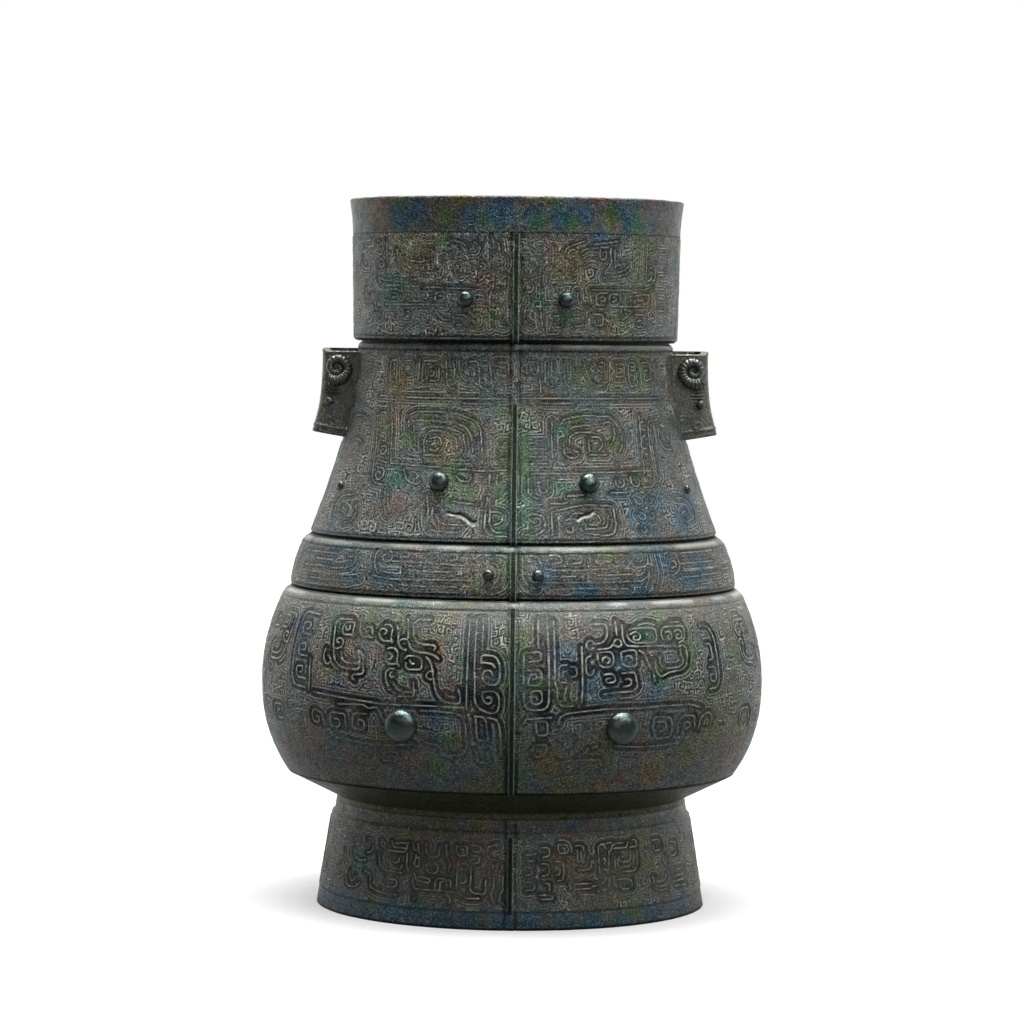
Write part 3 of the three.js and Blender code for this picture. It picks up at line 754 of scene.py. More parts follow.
def shell(name, node, angles, rows, lift, material, attributes, x_side=1, y_side=1, around=False):
    """A piece of the wall between the given angles, its outer face raised by lift"""
    low, height, wall, outline = REGISTERS[node]
    width = outline(rows)[:, None]
    slope = np.gradient(outline(rows), rows)[:, None]
    sine, cosine = np.sin(angles)[None, :], np.cos(angles)[None, :]
    flat = 0 * width * sine
    out = np.stack([DEPTH_TO_WIDTH * sine + flat, flat - cosine, flat - DEPTH_TO_WIDTH * slope], axis=-1)
    out /= np.linalg.norm(out, axis=-1, keepdims=True)
    face = np.stack([width * sine, -width * DEPTH_TO_WIDTH * cosine, low + rows[:, None] + flat], axis=-1)
    face = face + out * lift[..., None]
    inner_rows = np.linspace(height, 0, max(2, int(height / INSIDE_STEP) + 1))
    inner = outline(inner_rows)[:, None]
    inner_width, inner_depth = inner - wall, inner * DEPTH_TO_WIDTH - wall
    inner_up = low + inner_rows[:, None] + 0 * sine
    back = np.stack([inner_width * sine, -inner_depth * cosine, inner_up], axis=-1)
    points = np.concatenate([face, back]) * (x_side, y_side, 1)
    quads, caps = loop_quads(*points.shape[:2], around)
    if x_side * y_side < 0:
        quads = quads[:, ::-1]
        caps = [cap[::-1] for cap in caps]
    layers = {}
    for key, values in attributes.items():
        blank = np.zeros((len(inner_rows),) + values.shape[1:])
        layers[key] = np.concatenate([values, blank])
    return mesh_piece(name, points.reshape(-1, 3), quads, caps, material, layers)


# %% [markdown]
# ## Belly masks
#
# The belly carries the taotie, a mask whose two halves meet at the flange: horns above, the great eye
# in the middle, hooked quills beside it, and a lower band of scrolls. The lines are traced.
# The two halves were modelled by hand and are not the same, so each has its own strokes.

# %% Belly strokes
BELLY_LEFT = drawn("""
98,92.5 108,92.3 109.4,90 108.4,83 107,76 105,70.5 101.5,67.3 96,66.3 87.3,66.3 87.8,72 89.8,76.6
89.8,76.6 86,74.5 84.3,64 91,63.6 92.2,61.5 89.5,60.3
101,74.8 100,71 96,69.3 88,69.6
94.4,83.8 95.6,86 95.5,91.3 102,90.8 103.8,87.3 102,84.4 95.6,84.4
101.5,88.8 100.5,86.6 98,87 98.6,89.2
91.8,93 91.2,87 89,84.2 82,83.8
82.6,85.5 82.6,88 84.5,89.4 87.4,89 88,87 86,86.2
69,81.8 70.3,84 70,89.4 72.5,91.3 75.6,91
70.4,82.6 75,82.4 78,85 78,88.5 75.4,89.2 73.3,87.5 74.5,86
107.5,77 104,76.5 101,78 100.5,80.8 103,82.5 105.8,81.7 105.4,79.9 103.8,79.8
112.5,76 113.8,72 111,67.8 108.6,67.8 107.5,70.5 110.3,72.8
107.6,69.4 104.5,66.3 101,65
67.5,90.5 66,88 65.5,82 63.5,79 60,78.2
65.4,82 64,83.6 61.5,84.2 59.5,83.4 58.4,81 56.5,78.3 53,77.5 46.5,77 42.5,75.6 40.6,74
61.6,94.4 60.6,90 59.8,84.8
48,94.5 55,94.5 57.6,92.3 57,87 55,83.2 51,81.6 44.4,81.6 42.8,80.2 43.8,78.9
63.3,69.3 64.8,72 64.5,77 67.5,79.3 71,78.6
65,70.6 69.5,70.3 72,73 72,75.5 70,76.6 68,75.5 67.6,73.6 69.4,73
57.2,73 56,71 54.4,71.2
60,73.8 58.6,75.4 52,75 50,73 50,68.2 58,68 59.6,69.8 59.2,71.4
66,67.9 69,68 71,66 70,60 67.5,56.6 64.6,54.9
62.5,53.5 54.5,53.4 53.3,55 54.2,61
67.4,66 68.4,64.4 67,63.2 65.6,64
65.8,60.5 64,57.5 61,56 54.5,55.8
48,75 46,73.6 44.3,70.5 43.3,66 42.3,60 41,55.6 38.4,52.4 34.5,51 28.2,50.5 27.8,54 29,58.4
43.2,67.6 45.6,67.6 47.3,65.6 46.4,63.6 44,63.2
36,56 33.4,54 30.4,54.2
24.6,96 24.4,70 24.6,48
16.9,72.5 17.2,77 9.5,76.5 7,73 6.4,66 7.5,61.8 11,60.8 15.2,62.5 16.6,66 14.6,69 11.6,68.8 10.6,66.6
17,73 10.6,72.4 9.4,70.4
16,57.4 9.4,58 7,55.4 6.8,49.6 8.2,46 12.5,46 18.2,48.6 20.2,53 20,65.5
16.2,57 15.6,52.6 12.6,50.6 10.6,52.4 11.4,54.8 13.6,54.4
20.6,95.5 20.6,70 20.2,64
17,96.5 16.6,88 16.8,80
20,44.2 14.4,43.6 13.6,40 12.6,31.6
19.4,43 18.8,31.2 13,30.8
13,43.6 7.6,42.4 6.2,36.6 5.6,23
13.4,25 11.6,18.6 18.6,18.8 19.6,25.6
30,45.4 26.4,43.8 25,39.4 24.4,26 28,22.5 36,22
119,51.8 95,50.2 71,48.6 50,49 26,48.6
101,46.6 84,47.6 81,45.6 75,46.8 73,43 71,38.6
50,46.2 40,46.2 30,45.4
82,42.5 90.6,42.4 91.6,34 83.6,33.6 83.6,39 87.6,39 87.4,36.6
96,34 96.2,41.6 106.4,41.8 107.2,34 100.2,34 100.4,38.4 103.6,38.4
111.4,34 112.6,40.4 118.4,42.8 120.8,40 120,35.4 115.4,35.2 115.2,38.6 117.6,38.6
48,29 40,27.6 38.4,23 33,20.6
54,27.6 66,26.4 76,26 90,26.6 104,28.4
64.4,22.4 74,22 75,17.4 66,17.2 66,20 71,20
123.6,70 122.6,60 122.8,52.6
126,58.4 134,59 135.4,64.6 129.4,65.4 129,61.8 132,61.6
126.4,70.8 134.6,71 136,77 129.6,77.6 129.2,74 132.4,73.8
126.8,82.4 135,82.8 136.2,88.6 129.8,89 129.4,85.6 132.6,85.4
124.6,93.6 137,94.4 139.4,90 139,60 136,54.4 126,53.6
""")
BELLY_RIGHT = drawn("""
6.2,62 6.2,78.4 15.6,79 16,74.2 9.4,73.8
7.6,69 15.4,69.4 16.2,64.4 15,61.2 8.2,61.2 9.8,67 13,67.2 13.4,64.8 11,64.4
10,54.6 10,58 15.8,58.4 16.4,53 14.4,51 10.6,51.2 10.2,54.8 12.6,55.6 13.6,53.6
6.2,58 6.5,52 8.2,48 17.4,48 19.8,50.6 20,60 19.8,96.6
14.6,95.6 14.2,85 14.4,81
23.4,95 23.2,62 24.4,59.6 24.4,53 27,49.8 33,49.9
29.4,60 28,54.4 29,53
30,72 25.4,71.6 25.2,62.4 29.4,62.8
30,68.8 27.4,68.4 27.6,65.6
38.6,81.6 38.4,62 37.8,52
47.4,93.2 54.4,93.4 54.4,87 51.2,83.4 45.6,82.8 45.2,84.8 42.4,84.6 41,82 43,79.4 45.4,81
48,80 55,80.4 57.4,82.8 59,85.4 61.8,85 62.4,82 60,80.8 58,82
60.2,94.4 60,87.4
64,92.4 63.2,85.6 65,81.4 72,81 88,80.8 96.4,80.4
67.6,90 75,90.6 84.6,90.4 85.2,86 83.8,83 70,82.8 66.6,85 66.2,89
68.2,87.4 71.8,89 74.8,87.4 73.8,84.4 70,84.4 69.8,86.4 72,86.6
78,86.8 81.2,88.4 83.2,86 81.2,84.4 79.4,85.4 80.8,86.4
74,92 79.4,93.2 85,92
88.8,84.2 88,87.4 90.4,90.8 104,90.8 105,88.6 103.6,83.4 99.6,82
91.2,88 94.4,88.4 95.6,85.6 93.2,83.6 91.6,85.2 93.6,86
97.6,88 100.8,89.2 103,87.4 102,84.4 98.8,83.8 97.8,85.8 100,86.4
96.2,93 102.6,93
98.8,80 103,80.8 104,75.6 102.6,70 99.4,67.4 90,66.4 84.4,64 81.8,67 81.8,73.2
99.6,79 98.8,75.6 100.6,73.4 100,70.6 96.6,68.8 86.8,68.6 84.8,71.4 85,75
72.4,78.8 75.8,76.6 77.2,71.2 80,67.4 80.6,62
47.4,78 47.4,73 49.6,70.2 55,70.6 57,75 55.8,78.6 48.6,78.4
50,73.4 50.4,75.6 53.2,76.2 54.8,73.8 52.8,72.6
61.2,78 61.2,72.6 63.8,70.2 70,70.6 70.6,79 66,79.2 62.4,78.4
63.4,73.6 63.8,76 67.4,76.2 68,73.2 65.2,72.6
43.8,76.8 40.6,75.6 40.6,67 43.8,66 44.8,69.2
50.6,66.6 56,67 57.4,62.6 52,61.8 51,64.2 54.4,64.6
61,67 68.6,67.4 70,59.4 66.8,57 58,56.8 50,56
62.6,63.8 66.2,64 66,60.4 61.4,59.8
31.8,71 35,71.2 35.4,66 32.4,65.6
112,46 104,48.2 87,48.4 71,48 52,48 37.6,46.8 29.6,46 25.8,44 25.2,40
6.2,40.6 7.6,43 21.4,43.8
13,41.8 19.2,41.8 19.6,34.2 13.6,34 13,41.4
11.2,25.6 12.6,29 19.4,29.2 19.4,24.2 15,22 12.4,23.2
25.6,18.8 32.6,20 50.4,20.4 51.4,16.8
29.6,16.6 31,13.6 34.4,15 33.4,17.2 31.6,16.8
40,23.2 42.4,26.6
45,26.8 47.6,28
80.2,35.6 82,30.4 91.6,31 92.2,33.4 91.2,41.8 80.2,42.8 79.6,36.4
82.4,39.8 88,39.8 88,35 84.4,34.6
96.4,33 95.6,38 98.8,42.4 107.4,41.8 108,34.4
100,36.2 100.6,38.6 103.8,38.6 105,36.2 102,34.8
110.8,33.8 112,40.4 117.6,43.4 121,40.6 120,35.6
115,36.4 115.6,39.6 118,38.8 117.4,36.6
58,27.6 70,26.6 84,26.4 98,27.4
119,80 122.8,80.4 123,72 120.4,71.4
119,67.4 124,67.8 124.6,60 120,59.4 119.6,63.4 122,63.6
118.6,55.6 124.6,56 126.8,60 127,84 124.4,89.6 117.6,90
""")
print("belly strokes:", len(BELLY_LEFT), "and", len(BELLY_RIGHT))

# %% [markdown]
# ## Neck masks and frieze
#
# A narrow frieze of hooks runs below the mouth band, and under it a second mask hangs between the
# lugs. Each half has a jagged flaw low down, where the casting tore.

# %% Neck strokes
NECK_LEFT = drawn("""
75.3,101.2 74.4,98 73.8,91 73.3,85.2
81.8,85.2 81.8,98.8 76.4,99 76.2,91 75.6,86
79.6,97.6 78,96.2 78.4,93.6 80,93
72.2,99.6 72.2,91.4 68.6,90.8
70.6,98.8 64,99 63.3,91.4 66.4,91
59.4,100 60,87
55.6,87.6 57.2,88 57.2,99 46.8,99 46.2,88.2 52.6,88
50,96 53.8,95.2 53.6,91 49.6,90.6 49.6,93.2
42.2,100 41,87 38.9,84.2 36.2,83.7
37.8,99.6 36.6,95 36,90.6 39.6,88.6
33.6,99 33.4,91.6 29.8,88.4 27.4,88.2
27.8,98.6 22.2,99 20.6,85 18,84
28,95.6 24.6,95.4 23.8,88.4 26.6,88
19.4,99.6 15.6,99.2 14.4,92 13.2,83.6
18.6,96.8 16.8,96.8 17,93.8 19,93.4
11,98.6 3.8,98.4 3.6,91.4 10.6,91.2 10.8,94.6
88.6,79.2 60,78.6 28,78.6 3.6,78.8
30,76 12,76
87.8,70.6 85,58 83.2,50 81.6,40 80.4,33.6 77.8,31.2 72.2,30.8
77.8,74.6 76,70 73.4,59 71.6,49 69.4,42.4
83,62.4 79.4,62.6
84.8,70 80.8,70.4 80,65.6
81.6,59 77.8,58.6 76.8,54.8 78.8,54.4
79.4,51.4 75.6,51.8 74.6,48.4 77.6,46.8 79,48.6
79.4,44 72.4,42.6
78.4,40 73.4,39.6 72.4,35 76,32.6 78.8,35.8 77.4,38 75,36.6
63.3,69 58.9,71 46.8,71.2 33,70.4 22.4,66.8 19,62 17.4,49 17.2,43.6
59.4,66.2 35.8,65.8 28,63.4 24.4,59 23.2,53.6 22.4,49.2
63.2,66.8 62,61 60,54.6 58.4,50.8 55.6,50.2
60,66.6 58.4,60 57,54.6
53.4,50.2 55.4,57 52,62.8 38,62.8 29.2,60 26.4,51.4 27.4,48
50,49.2 51.8,55 48.8,61 38.4,60.4 32.4,56.6 31.2,51.2
47.8,56.6 42.4,57.8 40.2,53.4 44.2,49.4 47.4,51
49.6,47.6 40.2,47.4
34.4,45.2 21.4,45.2
69,42.4 41,41.2 28.8,40.4 15.6,39.6 3.6,40.4
69.4,29 68.3,21.2 66.6,17 64,14
67.2,27 65.8,20.6 63,16
61,40 57.8,33.6 51.2,31.4 49.6,33
57,37.6 53.2,38.4 51,35.6 53.6,33.4
30.6,37 27.4,33.6 22.6,33.8 22.4,38
44.4,25.6 42.8,20 41.8,11.4 39.4,7 27,6.4
40.6,20 40,13.6 36.8,8.6 25.6,8.8
37.8,17 37,12.4 33.2,10.4 24.4,10.6
31,23 17.8,21.4
13.4,25.8 13.9,9 11,5.2 3.4,4.8
12,24.6 11.6,11.4 9.4,7 3.4,6.6
11,18 5.6,17.4 5.4,12.4 9.2,11
12.6,37.6 12.4,29.4 8.4,27.4
9,37.6 8.8,31.4 4.4,30.6
7.8,54.8 3.8,54.8
8,50.6 3.8,50.6
8,46.2 3.8,46.2
90.8,24.4 99,23.6 104,20 103,12.6 94,10.6 92.6,15.6 97.4,17
87,19 84.4,14 86.4,10 92,8.6
96,52 101.6,55 110,53.6 113,47 107.8,42.6 99.4,43.8
96,66 104.4,68.2 115,66.8 119,60 117.4,44
""")
NECK_RIGHT = drawn("""
47.8,98.4 50.6,95 53,93.4
51.6,98.6 55.4,99 55,89.2
72.2,89 72.2,98.8 77.6,99 79,87 73.6,85.2 72.4,88.4
74.6,96.8 77,96.8 76.8,94.2 74.6,94.6
74.4,92 76.8,92 76.6,89 74.4,89.4
62.2,98 69,98.2 69.4,91.4 62.6,91
65,95.8 67.4,95.8 67.2,93.4 65,93.6
6.8,92.4 6.8,98.8 13,99 13.4,92.6 9.4,92.2 9.6,95.6
14.4,90 15,82.6
17.8,99 17.6,86.6 22,85.6
21.6,98.8 21.6,90.4 25.8,89.4
29.4,98.6 29,88 32.8,84.4 39,84.6
33.2,98.4 33,90.6 36.6,89.6 38,94.4
41.6,98.6 44,91 47.6,86.6 53.4,86
83.6,99 91,99 92.2,90 85,88.6 85.2,94.6 88.6,94.8
96,99 97.2,88 104,86.4
3.4,79 28,79.2 60,79 100,79
12,76.8 34,76.4
25.6,64.6 27.8,68 40,70 55.6,69.4 59,66.6 62.2,62 62.2,53.6 59.6,50.4
29.4,61.4 33.4,64 46.6,65 56.6,66.4 58.4,62 57.2,57 54.4,54
26.8,55.6 26.8,49 30,46.8 34.4,47.4 35,49.8 32,51.4
30,53.6 30.8,59 36.8,61.2 44.4,60.6
41.2,48.6 51,48.6
41.2,58 41.2,50.4
43.4,58.2 48.8,58.2 50,53.6 47,51.2
20.8,66.6 20.4,47
7.6,55 16.6,54.8
8,51.8 18,51.6
8,47.4 17,47.4
8.6,44 18,43.8
8.8,38.4 25.6,38.6 50,39.2 78,39.8
92.6,67.4 83.4,66.4 82.2,59 81.6,50 80.6,40 79.2,33.6 76.6,30.8 70.6,30.8
76.8,69.6 76,59 74.4,49 73.4,38.4
79.6,66.4 77,66 76.8,62.4 80,61.8
79.4,58.6 77,58.4 77,55
78.8,52 76,52 75.6,48.8 78.6,48.6
78,45.6 75.4,45.4
77.4,41.6 75.2,41 75.6,36.8 78.2,36.2
84.4,62 83,47 81.6,37
91.2,62.4 90.6,55.8 93.4,51 100,50.8
95.6,71 96.2,67 104,65.6
94.6,60.6 94.4,56.4 97.6,54.6 100.6,57.4 98.4,60.4
54.4,35.8 54,31.4 57.8,30.8 60,34.4 56.6,36.2
63.4,36.4 63.6,32 67.8,30.8 69.4,35.4 66,36.6
50,28 60,28
26.8,26.4 35.4,27.2
63.2,24.6 64.4,21.8 67.6,22 68,25 65,26
70.6,24.6 71.8,21.8 74.6,22.4 74.4,25.6 72,25.8
63.4,15.6 65,13 67.8,14 67.2,17 64.6,17
69.4,15.8 70.8,13 73.2,14.6 72,17.2
63,8 64.6,6 67,7.6 65.8,9.4
18.4,22.4 26.6,22.8
19,18.2 27,20.2 35.4,21.8 41.4,21.6
26.8,14.8 30,17.8 34.4,17
43.4,21.2 50,21.2 50.6,12.4 48.4,6 43.4,5.2 32.4,7 32.2,9.6
46.8,15.8 45.2,9.4 34,8.8
35.4,13.4 37,17.2 41.4,16.8 42.8,12.8 39.6,10.6 36.4,11.4
24.4,13.4 29,14.8 31.6,12.2
24.6,9.4 25.8,6.8 28.4,7.4 28,10
6.8,15.6 8,17.2 14.4,16 15,9 10,5.2 5.6,5.8
9.4,14.4 12.4,14.6 13,11.2 9.8,10.4
18.4,18 18.4,5.8
7,36.6 7,27.6 12,24.8
12.4,36 12.4,28.8 16.8,28 17,35.4
91,24.4 99,23.6 104,20 103,12.6 94,10.6 92.6,15.6 97.4,17
105,66 113.4,63.4 117.4,54 115.6,44
""")
print("neck strokes:", len(NECK_LEFT), "and", len(NECK_RIGHT))

# %% [markdown]
# ## Mouth mask
#
# The band under the plain rim carries a mask with round eyes beside the seam, large hooked horns
# above them and quills beside the horns. Its lines are finer than the belly's.

# %% Mouth strokes
MOUTH_LEFT = drawn("""
9.8,53.8 8.8,46.4 6.2,46.2 5.8,41 10.2,40 10.3,38 7.6,36 5.5,35.8
10.8,29.6 6.2,29 5.8,33.6
9.7,21 7.2,18 7.6,13.8 9.8,11.6 8.8,8.4 5.8,8.6
13.9,58 12.4,53.8 12.4,30.6 14.4,26 14.2,8
37.6,55.4 32.4,54.8 28.7,53.2 26.9,50
36.6,52.6 33.4,52 31.8,49.6 33.4,47.4 37,46.8
34.5,44.2 34.5,39 32.4,35.4 29.2,34.8 27.9,38 28.4,45.2 30.8,46.8 33.2,46.2
32.4,42.6 30,42.6 30.3,38.4
26,47.4 20.8,47.2 19.6,52 23.4,54.4
25.5,41 25.5,36 22.4,34.4 21.8,39 24,39.4
19.4,43 17.2,42.6 17.4,35 20.4,33
41,45 40.6,36.4 43.4,33.6 45,37.6
52.6,50.4 52.6,40.2
47.6,50.4 47.6,37.4
52.4,50.4 47.8,50.2
52.4,47 49,46.8
52.4,43.8 49,43.8
47.6,37 62.8,38.2 68.2,41 70.3,46.4 70.8,50.8
52.6,39.8 61.8,40.6 66.6,42.8 68.7,48.4
52.9,43.2 62.6,44.2 66,46.4
85,35.3 84.5,32.2 80.3,30.8 70.3,30.6 58.7,30 37.6,29.2 17.6,28.6
83.4,35.2 82,33.8 75.5,33.6 66,32.2 58,32
86.6,55 82.4,54.8 81.2,49.6 83.4,47.4
86.6,53.6 86.2,48.4 83.4,47.8
86,40.6 85.5,44.2 82.9,45.4 80.7,43.6 80.8,41 84,40.4 84.4,42.6
86,39 86,35.4
78.4,56 77.8,38 76,35
103.9,44.2 103.4,41.6 99.7,40.2 94,40
105.6,40.4 102.9,38.6 95,38.4
101.8,46.4 100,42.8 97,42.6
90,56.6 89.4,52.2 100.3,52.6
84.5,25.3 83.9,23.2 80.8,22.2 69.4,22 67.6,26.4 70,28.4 76,28.4
74.5,24 70.6,24.4 70.8,26.4 74.6,26.6
65,27.4 60.3,27.8 59.7,23.6 64,23.4
56.6,23.4 55.4,27.2 50.4,27.4 50,23.4 53.4,23.2
45.8,23 45.2,27 40.2,27.2 40.2,22.8 43.6,22.6
70.3,19.4 69.2,14.6 66.4,13.6 66.4,17.8
64,16.4 62,16.4 62,13.6 64.4,13.4
56,17 50,17 50.2,12.2
45.4,16.8 42,12 36.4,11.6
79.7,20.2 60,20 39.7,20
25,19.6 16.6,19.6
34,14.8 27.4,14.6 27.6,9.4 33,9.2
22.4,15.4 18.6,15.2 18.8,8.8 23,8.6 23,12
98,32 99.6,22.6 94.4,20.6 93,25.4
89.4,26.4 88,16 84,13.8
""")
MOUTH_RIGHT = drawn("""
3.2,44.2 6.3,44.2 6.4,42.2 3.6,41.2 3.2,36 9.8,35.8 10.2,40.4
5.4,40.4 7.8,40 7.6,38
3.8,29.6 4.4,32.2 8,33 9.6,30.4 8.6,27.4 4.6,27
6.3,26.2 7.8,21.6 5,19 4.4,11.6 8,9.4
13,45 12.8,24 14.4,9
26.3,49 27.4,51.6 30,52.8 38,55.4
28.4,48.6 29.5,50.4 32.1,50.8
35.8,49.4 37.9,51.2 44.2,51.8 51.6,52.4
36.8,47.8 40,49.4 45.3,49.6
36.8,45.8 39.5,47.8 44.8,47.6
43.2,53.8 52.6,54.8 57.9,55.8
46.6,51 46.8,45.8 50.5,45.3 51.1,49.6 48.8,50 48.6,47.8
53.2,52 54,43.4 51.1,39.8 50.4,37.4
49.5,35.8 56.8,36.2 63.2,37.4 66.8,39.6 67.4,45.2
51.8,38.4 58.9,38.8 64.2,40.6 66.2,43
57.4,45.3 57.8,42.8 63.2,43.4 66.3,44.6
56.4,51.6 56,45.6 57,41
78.9,56 78.4,31.8
81,54 85.4,54.2 85.2,50.4 81.6,50.2
81.4,47 84.6,46.8 84.4,42 81.4,41.8
80.6,37.6 83,40 84.8,38
79.6,34.2 83.2,35.4 83.4,38
78.6,31.6 83.2,32.6 86.4,35 86.8,47.2 88.6,49.6 100,49.8
87.6,41 88.2,39.4 95.8,39.8
90.6,38 99,37.8
90.4,45.4 97,44.8
42.1,28.8 60,28.8 78.9,29.8 84.2,31.4
45.8,21 44.7,25.4 46.4,27.2 52,27.2
47.9,25.2 50.8,24.8 50.4,22.8 48,22.8
52.6,21 59,21 61,23.8 59.4,26.8 53.8,26.8 53.3,23.8
55.4,25.2 58.4,24.8 57.2,23 55.4,23
64.2,20.6 63.7,25.4 65.8,27.6 71.6,27.8
65.4,25.2 68.4,26.2 68.8,23.8 66.4,22.8
71.6,26.2 81,27.2 82,24.8 80,21.8 72.6,21.4
72.4,25 72.8,23.6 78,23.8
45.4,20.6 63,20.2 81,20.2
61.6,18.8 60,13.8 62.2,12.6 67.4,15.8 67.8,18 63.2,18.4
64,16.2 66,16 65.4,14.4
11,19.6 22,19.8
34,27.6 34.8,20 41,19.8
17.4,4.8 23.4,4.8
17,14 17,5.4
20.6,14.6 26,14.4 26.2,8.6 21.4,8.4 21.4,11.6
31.6,15.4 37.6,15.2 37.8,9.2 32.4,9
43,16 49.4,15.6 49.8,9.6 44.4,9.4 44.6,12.6
22.6,46.8 25.8,46.8
20.6,36 22.6,38.4 24.8,37.4 24.2,34.8
27.6,45 27.4,35.4 31,35.6
30.6,44.6 30.6,38.6
20,51.8 19.8,42 16.8,38 16.6,33
70.4,16 78,15.6 79,9.4 72.4,9 72.4,12.4 75.4,12.6
88,27 97,26.8 98.4,18.4 90,17.6 90,23 94.4,23
""")
print("mouth strokes:", len(MOUTH_LEFT), "and", len(MOUTH_RIGHT))

# %% [markdown]
# ## Shoulder border
#
# In the narrow band between belly and neck two long creatures lie nose to nose, with small eyes
# beside the seam. Their bodies are little more than level lines with hooked ends.

# %% Shoulder strokes
SHOULDER_LEFT = drawn("""
69.8,19.8 47.5,19.6 27.5,18.6 17.4,19.6
80,11.4 70,10.2 45,10.6 21.4,10.8
25,15.2 22,14 23,11.4
77,12.6 79.4,15.8 81.2,20.8 80.6,25 75,26.2 70.2,24.4 70,19.8 74.6,19.2 76.4,22 74.4,23.2
48.8,20 48.8,24 46.4,25.4 38,25.2
26.2,25.2 25.4,19
66.4,25.2 60,25 59.4,22.4 65,22.2
36,24.6 31.4,24.4 31.2,21.6 35.4,21.4
95,26.2 93.8,19.6 95.6,15.2 106,14 125,14.4 140,14
101.2,24.4 101.2,20.8 96.4,20.4
98.4,23.8 104,24.6 108,21.8 125,22 138,21.4
112,18.2 128,18.2
64,7.4 56,7 44,7.2 30,7.2
88,9.2 96,7.4 112,7.2 130,7.4
5,22 4.4,15.8 6.4,8.4 12,6.6
9.4,24.6 5.6,24.2
11,20.4 8,18.4 7.8,12.6 10.4,9
20.6,23.4 18.4,24.8 13,24.4
60,15.4 52,15.2 40,15 33,15.2
""")
SHOULDER_RIGHT = drawn("""
17,17.4 22,16.8 41.2,16.8 52,17.2 60,18.8 63.6,21.4
16,10 41.2,10 60,10 72,10.2 76,12.6
41,15.4 41,10.8
42.6,25.2 43.2,20
66.2,23.6 68.2,25.6 75,25.6 75.6,21.2 70.4,20.6
73.8,6.4 76.2,10 78.2,16.2
81.2,6.4 83.8,13.8 83.8,24
90,21.2 90.6,24.4 95,25.6 98.8,24.4 100,21.2 100,16.2 96.4,13.6 92.6,12.4
94.4,20 97.6,20.4 97.4,17.2 93.4,16.8
101.4,18.8 116,18.6 132,18.6
101.4,11.2 125,11.8 138,12
4.8,23.8 4.8,14 7.6,8 12.4,7
9.4,24.4 13.8,23.8 15.2,19.4
20.4,24.8 26,24.6 27.4,20.8 21.4,20.4
31.4,25 38,24.6 38.6,20.6 33,20.4
47.6,24.6 55,24.6 58.4,22.4
22,13.6 34,13.4
46.4,13.8 66,14
20,6.6 40,6.8 64,6.6
104,24.4 120,24.2 136,24.4
""")
print("shoulder strokes:", len(SHOULDER_LEFT), "and", len(SHOULDER_RIGHT))

# %% [markdown]
# ## Foot hooks
#
# The foot spreads like a skirt and carries a last creature, broken up into hooks and squared coils.
# Much of it is worn or crusted, so only the lines that can still be followed are drawn.

# %% Foot strokes
FOOT_LEFT = drawn("""
30.4,45 24.2,45.2 24.2,40 29.8,39.4 30.4,44.6
28.4,43.4 26.2,43.4 26.2,41.2
21.9,45.2 16.7,45.2 16.1,42.8 19.4,41.8 21.2,43
21.3,40 17.3,40 16.7,36 20.7,35.8
21.3,34.8 21.9,22.2 20.2,19.9 13.3,19.2 13.3,26.8
28.8,37 29.4,22.2 27.6,18.6 23,16.8 16.7,17
27.6,35.2 24.2,36.2 23.6,33 27,32 27.2,33.6
27.6,29 24.4,29.4 24,25.4 27.2,25
54.1,28.4 52.4,24.6 45,24 44.3,26 50.6,27.2
54.9,26 54.1,20.4 29.9,19.9
41.4,20.8 41.4,26.6 35.7,27.2 34.5,22
38.6,20.4 38.6,24.8 37,25.2
34.5,26.6 32.2,25.4 32.8,22.2
54.1,38.6 54.7,32.6 51.8,31.8 51.6,37 53.4,37.2
57,45 55.2,40.6 54,41.2
53.5,45 52.4,40
75.3,42.8 75.3,36 74.2,31.8 70.2,30.2 63.3,29.6 62.1,32.4
59.8,45 60.4,40.6 62.1,39.4 73.4,39.4
73.4,39.4 73,33.8 69,31.4
71.6,37.6 71.2,34.6 68.8,33 64.8,33.2 64.2,37
78.2,45 77.6,41 74.8,41 74.8,43.4 77,43.6
70.7,45 69,41.2 59.8,41.6
67.9,43.8 61,44.4
79.4,37 78.2,33.6 77,30.8 72.5,28.4 62,28
59.8,39.2 59.3,31.4 57.6,29.2
53.5,18 52.9,14.2
34.5,18 32.4,16.8 32.8,13.6
98.9,37 97.8,33.6 93.2,31.4 88.4,32.4
99.4,42.6 95,43.8 94.4,40 98.4,39.8
103.5,20.8 101.8,16.6 94.3,16.4 90.3,19.8
100,25.4 99.5,20 96,19.4 94.4,23
112.7,25.4 108.1,24.8 106.4,21 112.7,19.4
107.5,35.4 106.4,29 110,27.6
4.7,35.8 3.8,28 3.6,22 5.6,19.4 5.4,15.2 3.4,14.4
9.4,35 8.6,24 10.4,18.6 8.4,15
6.8,46 12.6,45.4 12.8,38.6 8,38
48.6,45 47.8,39.6 44,37.6 40.2,38.6 40,44
36.4,45.2 35.8,38.8 33.4,35 34.2,30.6
47.4,34 46.8,29.8 41.4,29 39.6,33.4 43.2,34.8
88.4,44.4 84.4,43.8 83.8,37.4 88,36.4
88,26.4 83,25.4 82.6,18.4 76,16.2 64,16
71.4,24.4 64.6,24 64.4,20 71,19.8
""")
